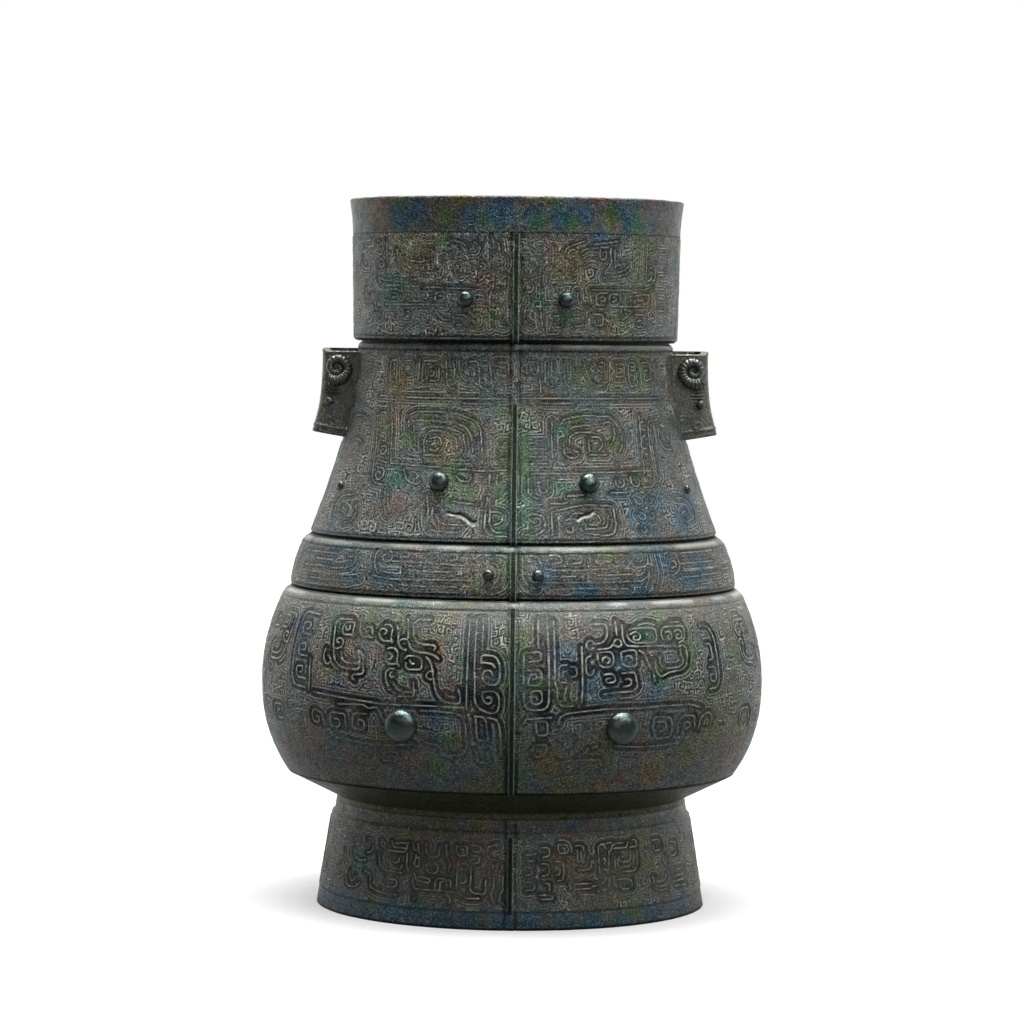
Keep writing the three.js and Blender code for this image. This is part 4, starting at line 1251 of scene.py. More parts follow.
FOOT_RIGHT = drawn("""
27,46.2 32.8,46.2 33,41.6 27.4,41.4 27,45.8
29,44.6 31,44.4 30.8,42.8
27.6,48.6 31.6,48.6 34.6,46.2 34.6,42
37,45.2 42,45.2 42.4,39.4 40.8,36
37.9,42.8 37.9,37 40.2,36.6 40.4,42
25,37 28.8,37.4 30,35.2 29.3,26.8 26.4,26.8
25.4,33.4 27.6,33.4 27.4,30 25.2,29.8
8.6,41 14.4,41.4
8.8,38 13.8,37.4
8.4,34.4 12.4,33.6 12,30.4 8.4,29.8
8.6,26 13.6,26.2 13.4,22 8.8,21.6
17.6,45 22.2,44.6 22,40 18,39.6
17.8,36 21.8,35.8 21.4,30 18,29.6
18,25.6 22,25.4 21.6,21.6
50.6,29.2 50.6,43.8 52.3,45.4 59.8,46
53.4,31.4 56.4,31 57.4,41.4
52.4,36.4 53.6,38 55,36.6 53.8,35
54,45 55.6,42.8
58.6,41.4 59.8,45 66.7,45.4
60.9,42.6 69,42.4 70.1,45.4
71.3,42.6 76.2,42.4 76.4,46 73.6,46.6
60.2,29.2 73.4,29.6 75.9,33 75.9,40.4
61,38.4 60.4,30.8
62.2,36.8 62.6,31.8 70.1,32.4 73,34.8 73.6,40
63.2,38.6 63.8,35.2 69,34.8 71.3,36.4 71.3,41
32.8,25.4 32.8,22.2 44.8,21.8
35.6,24.8 46,24.4
46,23 51.7,23.8 54,26.6 53,29
48.3,20.4 55.2,21 56.6,27
85.6,25 86.8,20 90.8,18.8 96.6,19.2 100,23.2 98.8,27
87.4,24.4 88.5,21.8 94.3,21.6 96.6,25.4
85.1,19.6 89.7,16.8 96,16.8
96,35.4 96,30.4 98.6,31.4 98.4,34.4
104,26.6 108.6,26.2 114,26.6
103.4,23.2 115,22.8
101.1,20.2 114,20.2
104,17.4 116,17
16.1,19.2 23,18.8 23.6,17 17,16.8
88.4,45 94.2,44.8 95,39 89,38.6 89,42
103.6,42 109.4,41.6 109.2,34.8 103.8,34.4
62,25.6 70,25.4 71,20.6 63,20.2 63,23
38,32 45.4,32 46.6,37.4
""")
print("foot strokes:", len(FOOT_LEFT), "and", len(FOOT_RIGHT))

# %% [markdown]
# ## Where the salts lie
#
# Copper salts gather where water once stood: green along the middle seam of the neck, blue at the hem
# of the foot, rust-red in the bare fields of the left mask. Each spot is written as its distance from
# the seam, left of it negative, its height and its radius.

# %% Stains
STAINS = {
    "rim": """
        blue -68,9,8 -58,12,6 -26,9,6 -10,11,8 10,8,6 24,9,7 38,11,5 59,12,5 66,7,5
        green 54,10,5 13,6,5 71,6,5 -40,8,6 -18,6,4 30,5,5
        ochre -66,18,7 53,6,4 -30,18,5 20,18,6
        red -50,18.5,6 -10,19,6 40,18.5,8 80,18,6 -80,18,5
    """,
    "mouth_band": """
        ochre 75,29,13 61,10,11 74,51,10 -60,50,12 30,40,12 -20,12,8 45,25,10
        red -20,32,6 19,52,5 19,44,5 -43,10,5
        green -12,14,5 0,34,4 0,23,4 0,10,4 29,14,4 -42,56,5 13,23,5 -72,29,8
        blue -72,29,8 13,23,4 46,56,4
    """,
    "neck": """
        green -6,72,5 5,70,5 2,61,7 2,50,7 0,40,5 0,28,6 0,19,6 0,11,5 -31,37,5 -22,28,4 -32,26,5
        green -51,69,5 -28,65,6 39,32,5 58,56,5 69,35,5 43,51,4 35,68,5 133,92,6 133,81,5 26,62,5
        green 23,31,5 -65,34,6 -62,56,5 82,89,8
        blue 2,28,6 0,19,6 0,11,5 23,31,5 26,62,4 -65,34,7 65,18,10 54,25,6 79,23,7 104,22,8 90,12,8
        red -73,68,4 -35,10,4 -70,87,4 -60,20,5
        ochre -45,86,13 -72,86,10 83,104,9 60,92,10 40,92,8 -80,60,8 -40,50,10
    """,
    "shoulder_band": """
        green -2,12,4 -2,18,4 -2,5,4 53,25,5 -20,8,4
        blue 70,4,6 116,16,8 105,9,7 17,14,6 -114,19,7 -95,12,7 -70,10,6 90,22,7 40,4,7
        red -54,22,5 22,6,5
    """,
    "belly": """
        green -69,94,6 -83,91,5 -61,77,7 -63,66,5 7,87,4 -2,86,4 -2,75,4 -2,65,4 -2,54,4 149,84,5
        green 143,72,6 106,78,7 104,66,6 84,65,6 86,94,6 121,54,6 121,44,5 -34,30,5 -43,16,5 15,60,5
        green 27,52,6 -70,104,4 -49,104,4 -31,104,4 -108,88,6 -90,98,5 -26,75,3 -25,65,3 75,89,7 95,89,6
        green -33,47,4 3,80,4 3,67,4
        blue 101,105,5 141,103,5 60,104,5 -86,63,3 -102,56,5 -43,46,6 -36,40,6 -41,34,5 48,59,9 29,74,8
        blue 62,74,8 -12,35,4 -9,67,4 -9,54,4 -26,75,4 -25,65,4 -25,54,4 3,67,4 3,54,4 -139,88,6
        blue -135,75,5 -108,88,5 -96,104,4 -69,104,4 75,89,7 -58,44,5 80,60,8
        red -117,74,4 -115,66,4 -115,58,4 -79,74,4 -78,59,4 -40,77,5 -50,63,5 -34,58,5 -35,94,7 -96,70,5
        red 36,92,7 -156,18,7 -95,20,5 -78,22,4 159,16,9 83,9,6 -168,6,8 64,9,4 -60,12,5
        ochre 141,40,8 121,32,8 107,22,8 88,14,8 -74,30,6 34,4,8 -7,4,6 -25,3,5 -40,92,7 -45,80,7
        ochre -100,80,6 -56,86,5 53,4,6 150,30,8 -110,66,6 20,20,9 50,24,9
    """,
    "foot_ring": """
        blue -101,8,8 -84,7,9 -66,6,9 -50,5,8 -36,5,7 -20,5,7 -4,5,7 12,5,6 28,4,6 45,4,6 62,4,6 83,6,7
        blue 108,8,7 -92,30,9 -109,40,5 -120,5,8 37,58,6
        green -92,30,8 -80,12,5 70,8,5 -50,12,4
        red -12,48,6 -12,41,5 -28,36,5 -47,34,4 33,51,5 27,38,5 42,28,5 -18,20,5 -8,30,4
        ochre 77,42,11 65,30,8 86,30,7 27,34,8 -65,47,7 60,14,6 -16,4,3 58,4,3 -40,57,8 -18,58,6
    """,
}


# how green the strips beside the middle seam are, how far from it they lie, and where they fade out
SEAM_GREEN = {"foot_ring": 0.2, "belly": 0.4, "shoulder_band": 0.3, "neck": 0.7, "mouth_band": 0.2}
SEAM_GREEN_AWAY = 6.0
SEAM_GREEN_HALF_WIDTH = 3.4
SEAM_GREEN_TOP = (74, 78)
SALTS = list(TINTS)


def stain_field(spots, across, up, seam_green=0.0):
    """The four shares of a stain at each point, as a colour attribute holds them"""
    field = np.zeros((len(up), len(across), 4))
    beside = ridge(np.abs(across) - SEAM_GREEN_AWAY, SEAM_GREEN_HALF_WIDTH) * seam_green
    field[..., SALTS.index("green")] = beside * (1 - smooth_step(up, *SEAM_GREEN_TOP))[:, None]
    for line in spots.strip().splitlines():
        salt, *places = line.split()
        share = field[..., SALTS.index(salt)]
        for place in places:
            x, y, reach = map(float, place.split(","))
            spot = ridge(np.hypot(across[None, :] - x, up[:, None] - y), reach)
            np.maximum(share, spot, out=share)
    return field


print("stained places:", sum(spots.count(",") // 2 for spots in STAINS.values()))

# %% [markdown]
# ## Carved panels
#
# The lens sees each panel only as far as it turns away, so towards the side seam the hooks and quills
# of the front are repeated, turned over as they are at any seam. The rear is cast like the front, and
# its grid is a little coarser to keep the object's triangles down.

# %% What each register carries
def turned_over(strokes, low, high, line):
    """Copies of the strokes between two distances from the seam, turned over about an upright line"""
    return [
        [(round(2 * line - x, 1), y) for x, y in stroke]
        for stroke in strokes if all(low <= x <= high for x, _ in stroke)
    ]


# node: strokes left and right, lower and upper end of the field, the incised lines around it, width
# and height of the threads beside the belly's, the height below which they are worn, how strongly a
# highlight is painted on the shelf at the top, and what is turned over: from, to, about
CARVING = {
    "foot_ring": (
        FOOT_LEFT, FOOT_RIGHT, (10.2, 50.0), (9.6,), 0.8, 0.95, 0, 0.2,
        ((0, 25, 76.5),),
    ),
    "belly": (
        BELLY_LEFT, BELLY_RIGHT, (15.0, 99.4), (100.0,), 1.0, 1.0, 48, 0.75,
        ((0, 25, 101), (80, 112, 128)),
    ),
    "shoulder_band": (
        SHOULDER_LEFT, SHOULDER_RIGHT, (2.6, 25.0), (2.8, 25.3), 0.8, 0.55, 0, 0.55,
        ((0, 36, 87.8),),
    ),
    "neck": (
        NECK_LEFT, NECK_RIGHT, (3.4, 103.0), (2.8, 104.6), 0.75, 0.7, 0, 0.6,
        ((0, 18, 69),),
    ),
    "mouth_band": (
        MOUTH_LEFT, MOUTH_RIGHT, (2.8, 59.0), (2.8,), 0.72, 0.65, 0, 0.0,
        ((0, 22, 65.2),),
    ),
}
# the skin is made paler from and to this height, and how far: on the belly's upper band a painted
# sheen where the light from above falls, on the foot a little, fading out towards its lower edge
PALE_BANDS = {"belly": (84, 99, 0.16), "foot_ring": (0, 10, 0.05)}
# side: which way it faces, how much coarser its grid is
SIDES = {"front": (1, 1.0), "back": (-1, 1.15)}
HANDS = {"left": -1, "right": 1}
# a casting flaw: the pit's line, and under it the line of the lip
SCARS = {
    ("neck", "front", "left"): drawn("""
        32.2,17.1 28.6,15.9 26.6,16.7 23.2,15.1 20,12.1 18.2,12.5
        31.8,15.9 26.6,14.7 23.2,13.3 20.2,9.9 18.6,10.3
    """),
    ("neck", "front", "right"): drawn("""
        31,14.6 34,16.6 36,16.2 39,18.6
        31,13.2 34,15.2 37,15.4 39.4,17.2
    """),
}
SCAR_DEPTH = 0.8
SCAR_LIP = 0.25
SCAR_REACH = 0.65

# %% Build the carved panels
for number, (node, carving) in enumerate(CARVING.items()):
    left, right, field, lines, fineness, boldness, worn_below, shelf_highlight, turns = carving
    low, height, wall, outline = REGISTERS[node]
    for side, (y_side, coarser) in SIDES.items():
        grid = coarser * (FINE_GRID if node == "belly" else GRID)
        rows = outline_rows(outline, height, grid)
        angles, across = quarter_angles(float(outline(np.array(height / 2))), grid)
        for traced, (hand, x_side) in zip((left, right), HANDS.items()):
            strokes = traced + [copy for turn in turns for copy in turned_over(traced, *turn)]
            seed = 10 * number + (x_side > 0)
            lift, wear_and_highlight, dirt_and_shade = relief(
                strokes, lines, across, rows, field, fineness, boldness, worn_below, shelf_highlight, seed
            )
            # a painted sheen on the belly's upper band, and a little paleness on the foot
            if node in PALE_BANDS:
                start, end, share = PALE_BANDS[node]
                wear_and_highlight = np.maximum(wear_and_highlight, share * smooth_step(rows, start, end)[:, None])
            # at a flaw the pit is painted dark as its shade and the raised lip pale as a highlight
            if (node, side, hand) in SCARS:
                pit, lip_highlight = (
                    ridge(distance_to([line], across, rows), SCAR_REACH) for line in SCARS[node, side, hand]
                )
                lift = lift - SCAR_DEPTH * pit + SCAR_LIP * lip_highlight
                wear_and_highlight = np.maximum(wear_and_highlight * (1 - pit), 0.8 * lip_highlight)
                dirt_and_shade = np.maximum(dirt_and_shade, pit) * (1 - lip_highlight)
            stain = stain_field(STAINS[node], across * x_side, rows, SEAM_GREEN[node])
            layers = {"wear_and_highlight": wear_and_highlight, "dirt_and_shade": dirt_and_shade, "stain": stain}
            name = f"{node}_{side}_{hand}"
            panel = shell(name, node, angles, rows, lift, WALL_BRONZE, layers, x_side, y_side)
            keep(panel, [node])
        print(node, side, "panels of", len(rows), "by", len(across))

# %% [markdown]
# ## Rim
#
# The rim was left plain, so it is one closed band with the pits of the casting. Water that stood in
# the mouth stained it blue.

# %% Rim
RIM_COLUMNS = 720
RIM_GRID = 0.6
RIM_MIDDLE = 93.5
# the radius on which the pits are laid out, and their depths, sizes and seeds
RIM_PIT_RADIUS = 84
RIM_PITS = ((0.3, 3.3, 71), (0.35, 11, 72))
# over so many columns the pits run into those at the start of the band
RIM_JOIN = 60

angles = np.linspace(0, 2 * np.pi, RIM_COLUMNS, endpoint=False)
rows = outline_rows(rim_outline, RIM_HEIGHT, RIM_GRID)
quarter, distances = quarter_angles(RIM_MIDDLE, 1.0)
turned_back = np.minimum(angles, 2 * np.pi - angles)
folded = np.minimum(turned_back, np.pi - turned_back)
across = np.interp(folded, quarter, distances) * np.where(angles < np.pi, 1, -1)
x, y = np.meshgrid(angles * RIM_PIT_RADIUS, rows)
pits = sum(depth * (soft_noise(x, y, size, seed) - 0.5) for depth, size, seed in RIM_PITS)
fade = np.linspace(1, 0, RIM_JOIN)
pits[:, -RIM_JOIN:] = pits[:, -RIM_JOIN:] * fade + pits[:, :1] * fade[::-1]
flat = np.zeros(pits.shape)
layers = {"wear_and_highlight": flat, "dirt_and_shade": flat, "stain": stain_field(STAINS["rim"], across, rows)}
rim = shell("rim_band", "rim", angles, rows, pits, RIM_BRONZE, layers, around=True)
keep(rim, ["rim"])
print("rim of", len(rows), "by", len(angles))

# %% [markdown]
# ## Underside and floor
#
# Under the belly the wall runs in to the foot as a plain flare, which is also the floor of the
# cavity; its colour is darkened as painted shade under the belly. It is a turned shape, only oval: a few
# rings joined by quads, with a cap at either end.

# %% Underside and floor
UNDERSIDE_Z = 60.0
UNDERSIDE_HEIGHT = 16.5
UNDERSIDE_STEP = 2.6
UNDERSIDE_SEGMENTS = 240
UNDERSIDE_RINGS = 13
# the cavity's floor rises to the wall in two slopes: half width and rise of their bend and their foot
FLOOR_BEND = (107.7, 9.8)
FLOOR_EDGE = (82.0, 5.0)


def turned(name, rings, material):
    """A closed oval solid from rings of half width, half depth and height, ending in two caps"""
    angle = np.linspace(0, 2 * np.pi, UNDERSIDE_SEGMENTS, endpoint=False)
    points = [np.stack([a * np.cos(angle), b * np.sin(angle), z + 0 * angle], axis=-1) for a, b, z in rings]
    index = np.arange(len(rings) * len(angle)).reshape(len(rings), len(angle))
    beside = np.roll(index, -1, axis=1)
    quads = np.stack([index[:-1], beside[:-1], beside[1:], index[1:]], axis=-1).reshape(-1, 4)
    return mesh_piece(name, np.concatenate(points), quads, [index[0, ::-1], index[-1]], material)


heel = float(foot_outline(np.array(FOOT_HEIGHT)))
brim = float(belly_outline(np.array(0.0)))
inside = brim - WALL
# a low upright step above the foot, then a straight flare out to the belly's lower edge
outer = [(heel, 0.0)] + [
    (heel + (brim - heel) * t, UNDERSIDE_STEP + (UNDERSIDE_HEIGHT - UNDERSIDE_STEP) * t)
    for t in np.linspace(0, 1, UNDERSIDE_RINGS)
]
rings = [(half, half * DEPTH_TO_WIDTH, UNDERSIDE_Z + rise) for half, rise in outer]
edge_width, edge_depth = FLOOR_EDGE[0], FLOOR_EDGE[0] * DEPTH_TO_WIDTH
for half, rise in ((inside, UNDERSIDE_HEIGHT), FLOOR_BEND, FLOOR_EDGE):
    share = (half - edge_width) / (inside - edge_width)
    depth = edge_depth + (brim * DEPTH_TO_WIDTH - WALL - edge_depth) * share
    rings.append((half, depth, UNDERSIDE_Z + rise))
dish = turned("underside", rings, UNDERSIDE_BRONZE)
keep(dish, ["bowl_floor"])
print("underside of", len(rings), "rings, from", round(heel, 1), "to", round(brim, 1), "mm")

# %% [markdown]
# ## Geometry Nodes
#
# Bosses, flanges and horns repeat, so each kind is one tree with named inputs. A tree takes points
# that know which way the wall faces. It ends by making its copies real, pushing the surface in and
# out a little along its normal, as a casting is uneven, and giving it the finish. What it makes is
# then kept as a plain mesh.

# %% Geometry Nodes helpers
def start_tree(name, **inputs):
    tree = bpy.data.node_groups.new(name, "GeometryNodeTree")
    tree.interface.new_socket("Geometry", in_out="INPUT", socket_type="NodeSocketGeometry")
    for label, kind in inputs.items():
        tree.interface.new_socket(label, in_out="INPUT", socket_type="NodeSocket" + kind)
    tree.interface.new_socket("Geometry", in_out="OUTPUT", socket_type="NodeSocketGeometry")
    return tree, tree.nodes.new("NodeGroupInput").outputs


def facing_of(tree):
    sockets = {"Name": "facing"}
    return add_node(tree, "GeometryNodeInputNamedAttribute", sockets, data_type="FLOAT_VECTOR").outputs[0]


def finish_tree(tree, enter, geometry, lumps, scale):
    """Make the geometry real, uneven its surface by so many metres and give it the finish"""
    real = add_node(tree, "GeometryNodeRealizeInstances", {"Geometry": geometry}).outputs[0]
    place = add_node(tree, "GeometryNodeInputPosition").outputs[0]
    normal = add_node(tree, "GeometryNodeInputNormal").outputs[0]
    lump = calculate(tree, "SUBTRACT", noise(tree, place, scale, 2), 0.5)
    sockets = {0: normal, "Scale": calculate(tree, "MULTIPLY", lump, lumps)}
    push = add_node(tree, "ShaderNodeVectorMath", sockets, operation="SCALE").outputs[0]
    uneven = add_node(tree, "GeometryNodeSetPosition", {"Geometry": real, "Offset": push}).outputs[0]
    smooth = add_node(tree, "GeometryNodeSetShadeSmooth", {"Geometry": uneven}).outputs[0]
    painted = add_node(tree, "GeometryNodeSetMaterial", {"Geometry": smooth, "Material": enter["Finish"]})
    add_node(tree, "NodeGroupOutput", {"Geometry": painted.outputs[0]})


# %% Grow a piece from points
def grow(name, base, tree, **values):
    """Run a tree on a mesh and keep what it makes as a plain mesh"""
    source = bpy.data.objects.new(name, base)
    bpy.context.scene.collection.objects.link(source)
    modifier = source.modifiers.new("grow", "NODES")
    modifier.node_group = tree
    for item in tree.interface.items_tree:
        if item.in_out == "INPUT" and item.name in values:
            modifier[item.identifier] = values[item.name]
    depsgraph = bpy.context.evaluated_depsgraph_get()
    mesh = bpy.data.meshes.new_from_object(source.evaluated_get(depsgraph), depsgraph=depsgraph)
    bpy.data.objects.remove(source)
    piece = bpy.data.objects.new(name, mesh)
    bpy.context.scene.collection.objects.link(piece)
    return piece


def base_points(name, points, facing, edges=()):
    mesh = bpy.data.meshes.new(name)
    mesh.from_pydata([tuple(p * MM) for p in points], list(edges), [])
    layer = mesh.attributes.new("facing", "FLOAT_VECTOR", "POINT")
    layer.data.foreach_set("vector", np.array(facing, np.float32).ravel())
    return mesh


def wall_point(node, across, up):
    """The point of the front wall at a distance right of the middle, and the way the wall faces there"""
    low, height, wall, outline = REGISTERS[node]
    width = float(outline(np.array(up)))
    slope = float(outline(np.array(up + 0.2)) - outline(np.array(up - 0.2))) / 0.4
    sine = across / width
    cosine = math.sqrt(1 - sine**2)
    facing = np.array([DEPTH_TO_WIDTH * sine, -cosine, -DEPTH_TO_WIDTH * slope])
    facing /= np.linalg.norm(facing)
    return np.array([width * sine, -width * DEPTH_TO_WIDTH * cosine, low + up]), facing


# %% [markdown]
# ## Eyes
#
# The masks look out through round bosses, four of each kind. Each is a ball with its lower half drawn
# in to a short root, and its sides filled out so that it stands steeply on the wall. The same dome is
# set on every point and turned the way the wall faces.

# %% Boss tree
BOSS_SEGMENTS = 48
BOSS_RINGS = 28
# how far the dome's sides are filled out, and how much of the lower half is left
BOSS_FULLNESS = 0.22
BOSS_ROOT = 0.3
# metres, and lumps in a metre
BOSS_LUMPS = 0.0005
BOSS_LUMP_SCALE = 260

eye_tree, enter = start_tree("eye boss", Radius="Float", Height="Float", Finish="Material")
sockets = {"Segments": BOSS_SEGMENTS, "Rings": BOSS_RINGS, "Radius": 1.0}
ball = add_node(eye_tree, "GeometryNodeMeshUVSphere", sockets)
spot = add_node(eye_tree, "GeometryNodeInputPosition").outputs[0]
x, y, z = add_node(eye_tree, "ShaderNodeSeparateXYZ", {"Vector": spot}).outputs
square = [calculate(eye_tree, "POWER", axis, 2.0) for axis in (x, y)]
reach = calculate(eye_tree, "SQRT", calculate(eye_tree, "ADD", *square))
fuller = calculate(eye_tree, "POWER", calculate(eye_tree, "MAXIMUM", reach, 0.02), -BOSS_FULLNESS)
crown = calculate(eye_tree, "MAXIMUM", z, calculate(eye_tree, "MULTIPLY", z, BOSS_ROOT))
sockets = {
    "X": calculate(eye_tree, "MULTIPLY", x, fuller),
    "Y": calculate(eye_tree, "MULTIPLY", y, fuller),
    "Z": crown,
}
sockets = {
    "Geometry": ball.outputs[0],
    "Position": add_node(eye_tree, "ShaderNodeCombineXYZ", sockets).outputs[0],
}
dome = add_node(eye_tree, "GeometryNodeSetPosition", sockets)
tilt = add_node(eye_tree, "FunctionNodeAlignRotationToVector", {"Vector": facing_of(eye_tree)}, axis="Z")
sockets = {"X": enter["Radius"], "Y": enter["Radius"], "Z": enter["Height"]}
sockets = {
    "Points": enter["Geometry"],
    "Instance": dome.outputs[0],
    "Rotation": tilt.outputs[0],
    "Scale": add_node(eye_tree, "ShaderNodeCombineXYZ", sockets).outputs[0],
}
placed = add_node(eye_tree, "GeometryNodeInstanceOnPoints", sockets)
finish_tree(eye_tree, enter, placed.outputs[0], BOSS_LUMPS, BOSS_LUMP_SCALE)

# %% Eye bosses
# kind: register, distance from the middle, height in the register, radius, height of the boss
EYES = {
    "mouth_eye": ("mouth_band", 27.5, 23.5, 4.6, 4.2),
    "neck_eye": ("neck", 40.8, 33.5, 5.7, 4.6),
    "neck_side_eye": ("neck", 96.6, 28.5, 2.8, 2.3),
    "shoulder_eye": ("shoulder_band", 13.4, 14.0, 3.2, 3.0),
    "belly_eye": ("belly", 59.6, 37.5, 9.4, 6.4),
}
SIGNS = [(x, y) for x in HANDS.values() for y, coarser in SIDES.values()]


def four_ways(name):
    return [f"{hand}_{side}_{name}" for hand in HANDS for side in SIDES]


for kind, (node, across, up, radius, height) in EYES.items():
    point, facing = wall_point(node, across, up)
    points = [point * (x, y, 1) for x, y in SIGNS]
    ways = [facing * (x, y, 1) for x, y in SIGNS]
    eyes = grow(
        kind + "s", base_points(kind, points, ways), eye_tree,
        Radius=radius * MM, Height=height * MM, Finish=BOSS_BRONZE,
    )
    keep(eyes, four_ways(kind))
    print(kind, "bosses of", 2 * radius, "mm,", len(eyes.data.polygons), "faces")

# %% [markdown]
# ## Flanges
#
# Molten bronze ran a little way into the gaps between the mould pieces, and the founder made a
# virtue of it: each seam carries a low rounded fin. A fin is a bar drawn along the wall's outline.

# %% Flange tree
# metres, as the tree's own sizes are
FLANGE_ROUND = 0.0006
FLANGE_LUMPS = 0.0006
FLANGE_LUMP_SCALE = 170

flange_tree, enter = start_tree("flange", Width="Float", Depth="Float", Finish="Material")
line = add_node(flange_tree, "GeometryNodeMeshToCurve", {"Mesh": enter["Geometry"]})
sockets = {"Curve": line.outputs[0], "Normal": facing_of(flange_tree)}
aimed = add_node(flange_tree, "GeometryNodeSetCurveNormal", sockets, mode="FREE")
sockets = {"Width": enter["Depth"], "Height": enter["Width"]}
bar = add_node(flange_tree, "GeometryNodeCurvePrimitiveQuadrilateral", sockets)
sockets = {"Curve": bar.outputs[0], "Count": 4, "Radius": FLANGE_ROUND}
soft = add_node(flange_tree, "GeometryNodeFilletCurve", sockets, mode="POLY")
sockets = {"Curve": aimed.outputs[0], "Profile Curve": soft.outputs[0], "Fill Caps": True}
swept = add_node(flange_tree, "GeometryNodeCurveToMesh", sockets)
finish_tree(flange_tree, enter, swept.outputs[0], FLANGE_LUMPS, FLANGE_LUMP_SCALE)

# %% Flanges
FLANGE_WIDTH = 3.0
FLANGE_ROOT = 2.0
FLANGE_STEP = 0.8
# kind: register, foot of the flange, its head in front and behind, its head at the sides
FLANGES = {
    "mouth_flange": ("mouth_band", 0.5, 59.5, 59.5),
    "neck_flange": ("neck", 1.0, 76.0, 52.6),
    "shoulder_flange": ("shoulder_band", 1.0, 26.3, 26.3),
    "belly_flange": ("belly", 1.0, 101.8, 101.8),
    "foot_flange": ("foot_ring", 9.5, 49.6, 49.6),
}
# place: the way it faces, how far its flanges stand out
SEAMS = {"front": (0, -1, 1.5), "back": (0, 1, 1.5), "left": (-1, 0, 0.4), "right": (1, 0, 0.4)}

for kind, (node, foot, head, side_head) in FLANGES.items():
    low, height, wall, outline = REGISTERS[node]
    for place, (x, y, stands) in SEAMS.items():
        ups = np.arange(foot, side_head if x else head, FLANGE_STEP)
        width = outline(ups)
        slope = np.gradient(width, ups)
        share = 1.0 if x else DEPTH_TO_WIDTH
        ways = np.stack([x + 0 * ups, y + 0 * ups, -share * slope], axis=-1)
        ways /= np.linalg.norm(ways, axis=-1, keepdims=True)
        spine = np.stack([x * width * share, y * width * share, low + ups], axis=-1)
        spine = spine + ways * (stands - (stands + FLANGE_ROOT) / 2)
        edges = [(i, i + 1) for i in range(len(ups) - 1)]
        name = f"{place}_{kind}"
        fin = grow(
            name + "_fin", base_points(name, spine, ways, edges), flange_tree,
            Width=FLANGE_WIDTH * MM, Depth=(stands + FLANGE_ROOT) * MM, Finish=FLANGE_BRONZE,
        )
        keep(fin, [name])
    print(kind, "in four places, up to", round(float(low + head), 1), "mm above the floor")

# %% [markdown]
# ## Ram's horns
#
# A ram's head looks out on the front and back of each lug, all horn and eye. The horn is a round
# tapering tube along a spiral, ribbed as a real horn is, so a spiral curve carries a circle whose
# size falls along it and swells a little at each rib. The eye under it is one more boss.

# %% Horn tree
# metres, as the tree's own sizes are
HORN_TURNS = 1.45
HORN_COIL = 0.0076
HORN_HEART = 0.0012
HORN_THICK = 0.0036
HORN_TIP = 0.0018
HORN_LUMPS = 0.0004
HORN_LUMP_SCALE = 300
HORN_STEPS = 160
HORN_SIDES = 16
# how far a rib swells, as a share, and how closely the ribs follow each other
HORN_RIB = 0.045
HORN_RIB_PACE = 140.0

horn_tree, enter = start_tree("ram's horn", Reverse="Bool", Turn="Vector", Finish="Material")
sockets = {
    "Resolution": HORN_STEPS,
    "Rotations": HORN_TURNS,
    "Start Radius": HORN_COIL,
    "End Radius": HORN_HEART,
    "Height": 0.0,
    "Reverse": enter["Reverse"],
}
coil = add_node(horn_tree, "GeometryNodeCurveSpiral", sockets)
parameter = add_node(horn_tree, "GeometryNodeSplineParameter").outputs["Factor"]
taper = remap(horn_tree, parameter, 0.0, 1.0, HORN_THICK, HORN_TIP)
wave = calculate(horn_tree, "SINE", calculate(horn_tree, "MULTIPLY", parameter, HORN_RIB_PACE))
rib = calculate(horn_tree, "MULTIPLY_ADD", wave, HORN_RIB, 1.0)
ring = add_node(horn_tree, "GeometryNodeCurvePrimitiveCircle", {"Resolution": HORN_SIDES, "Radius": 1.0})
sockets = {
    "Curve": coil.outputs[0],
    "Profile Curve": ring.outputs[0],
    "Scale": calculate(horn_tree, "MULTIPLY", taper, rib),
    "Fill Caps": True,
}
tube = add_node(horn_tree, "GeometryNodeCurveToMesh", sockets)
sockets = {"Geometry": tube.outputs[0], "Rotation": enter["Turn"]}
set_up = add_node(horn_tree, "GeometryNodeTransform", sockets)
sockets = {"Points": enter["Geometry"], "Instance": set_up.outputs[0]}
placed = add_node(horn_tree, "GeometryNodeInstanceOnPoints", sockets)
finish_tree(horn_tree, enter, placed.outputs[0], HORN_LUMPS, HORN_LUMP_SCALE)

# %% Ram's horns
HORN_ACROSS = 100.6
HORN_Z = 305.0
# the horn's axis stands this far off the lug's face
HORN_OFF_FACE = 0.2
# the angle at which each coil starts, in degrees
HORN_START = {"left": 228, "right": -48}
LUG_HALF_DEPTH = 13.0
LUG_EYE_ACROSS = 104.8
LUG_EYE_Z = 286.3
LUG_EYE_RADIUS = 2.5
LUG_EYE_HEIGHT = 2.2

for hand, x in HANDS.items():
    spots = [np.array([x * HORN_ACROSS, y * (LUG_HALF_DEPTH + HORN_OFF_FACE), HORN_Z]) for y in (-1, 1)]
    horns = grow(
        f"{hand}_horns", base_points("horn", spots, [(0, -1, 0), (0, 1, 0)]), horn_tree,
        Reverse=x < 0, Turn=(math.pi / 2, -math.radians(HORN_START[hand]), 0.0), Finish=HORN_BRONZE,
    )
    keep(horns, [f"{hand}_{side}_lug_horn" for side in SIDES])
    print(hand, "horns of", len(horns.data.polygons), "faces")

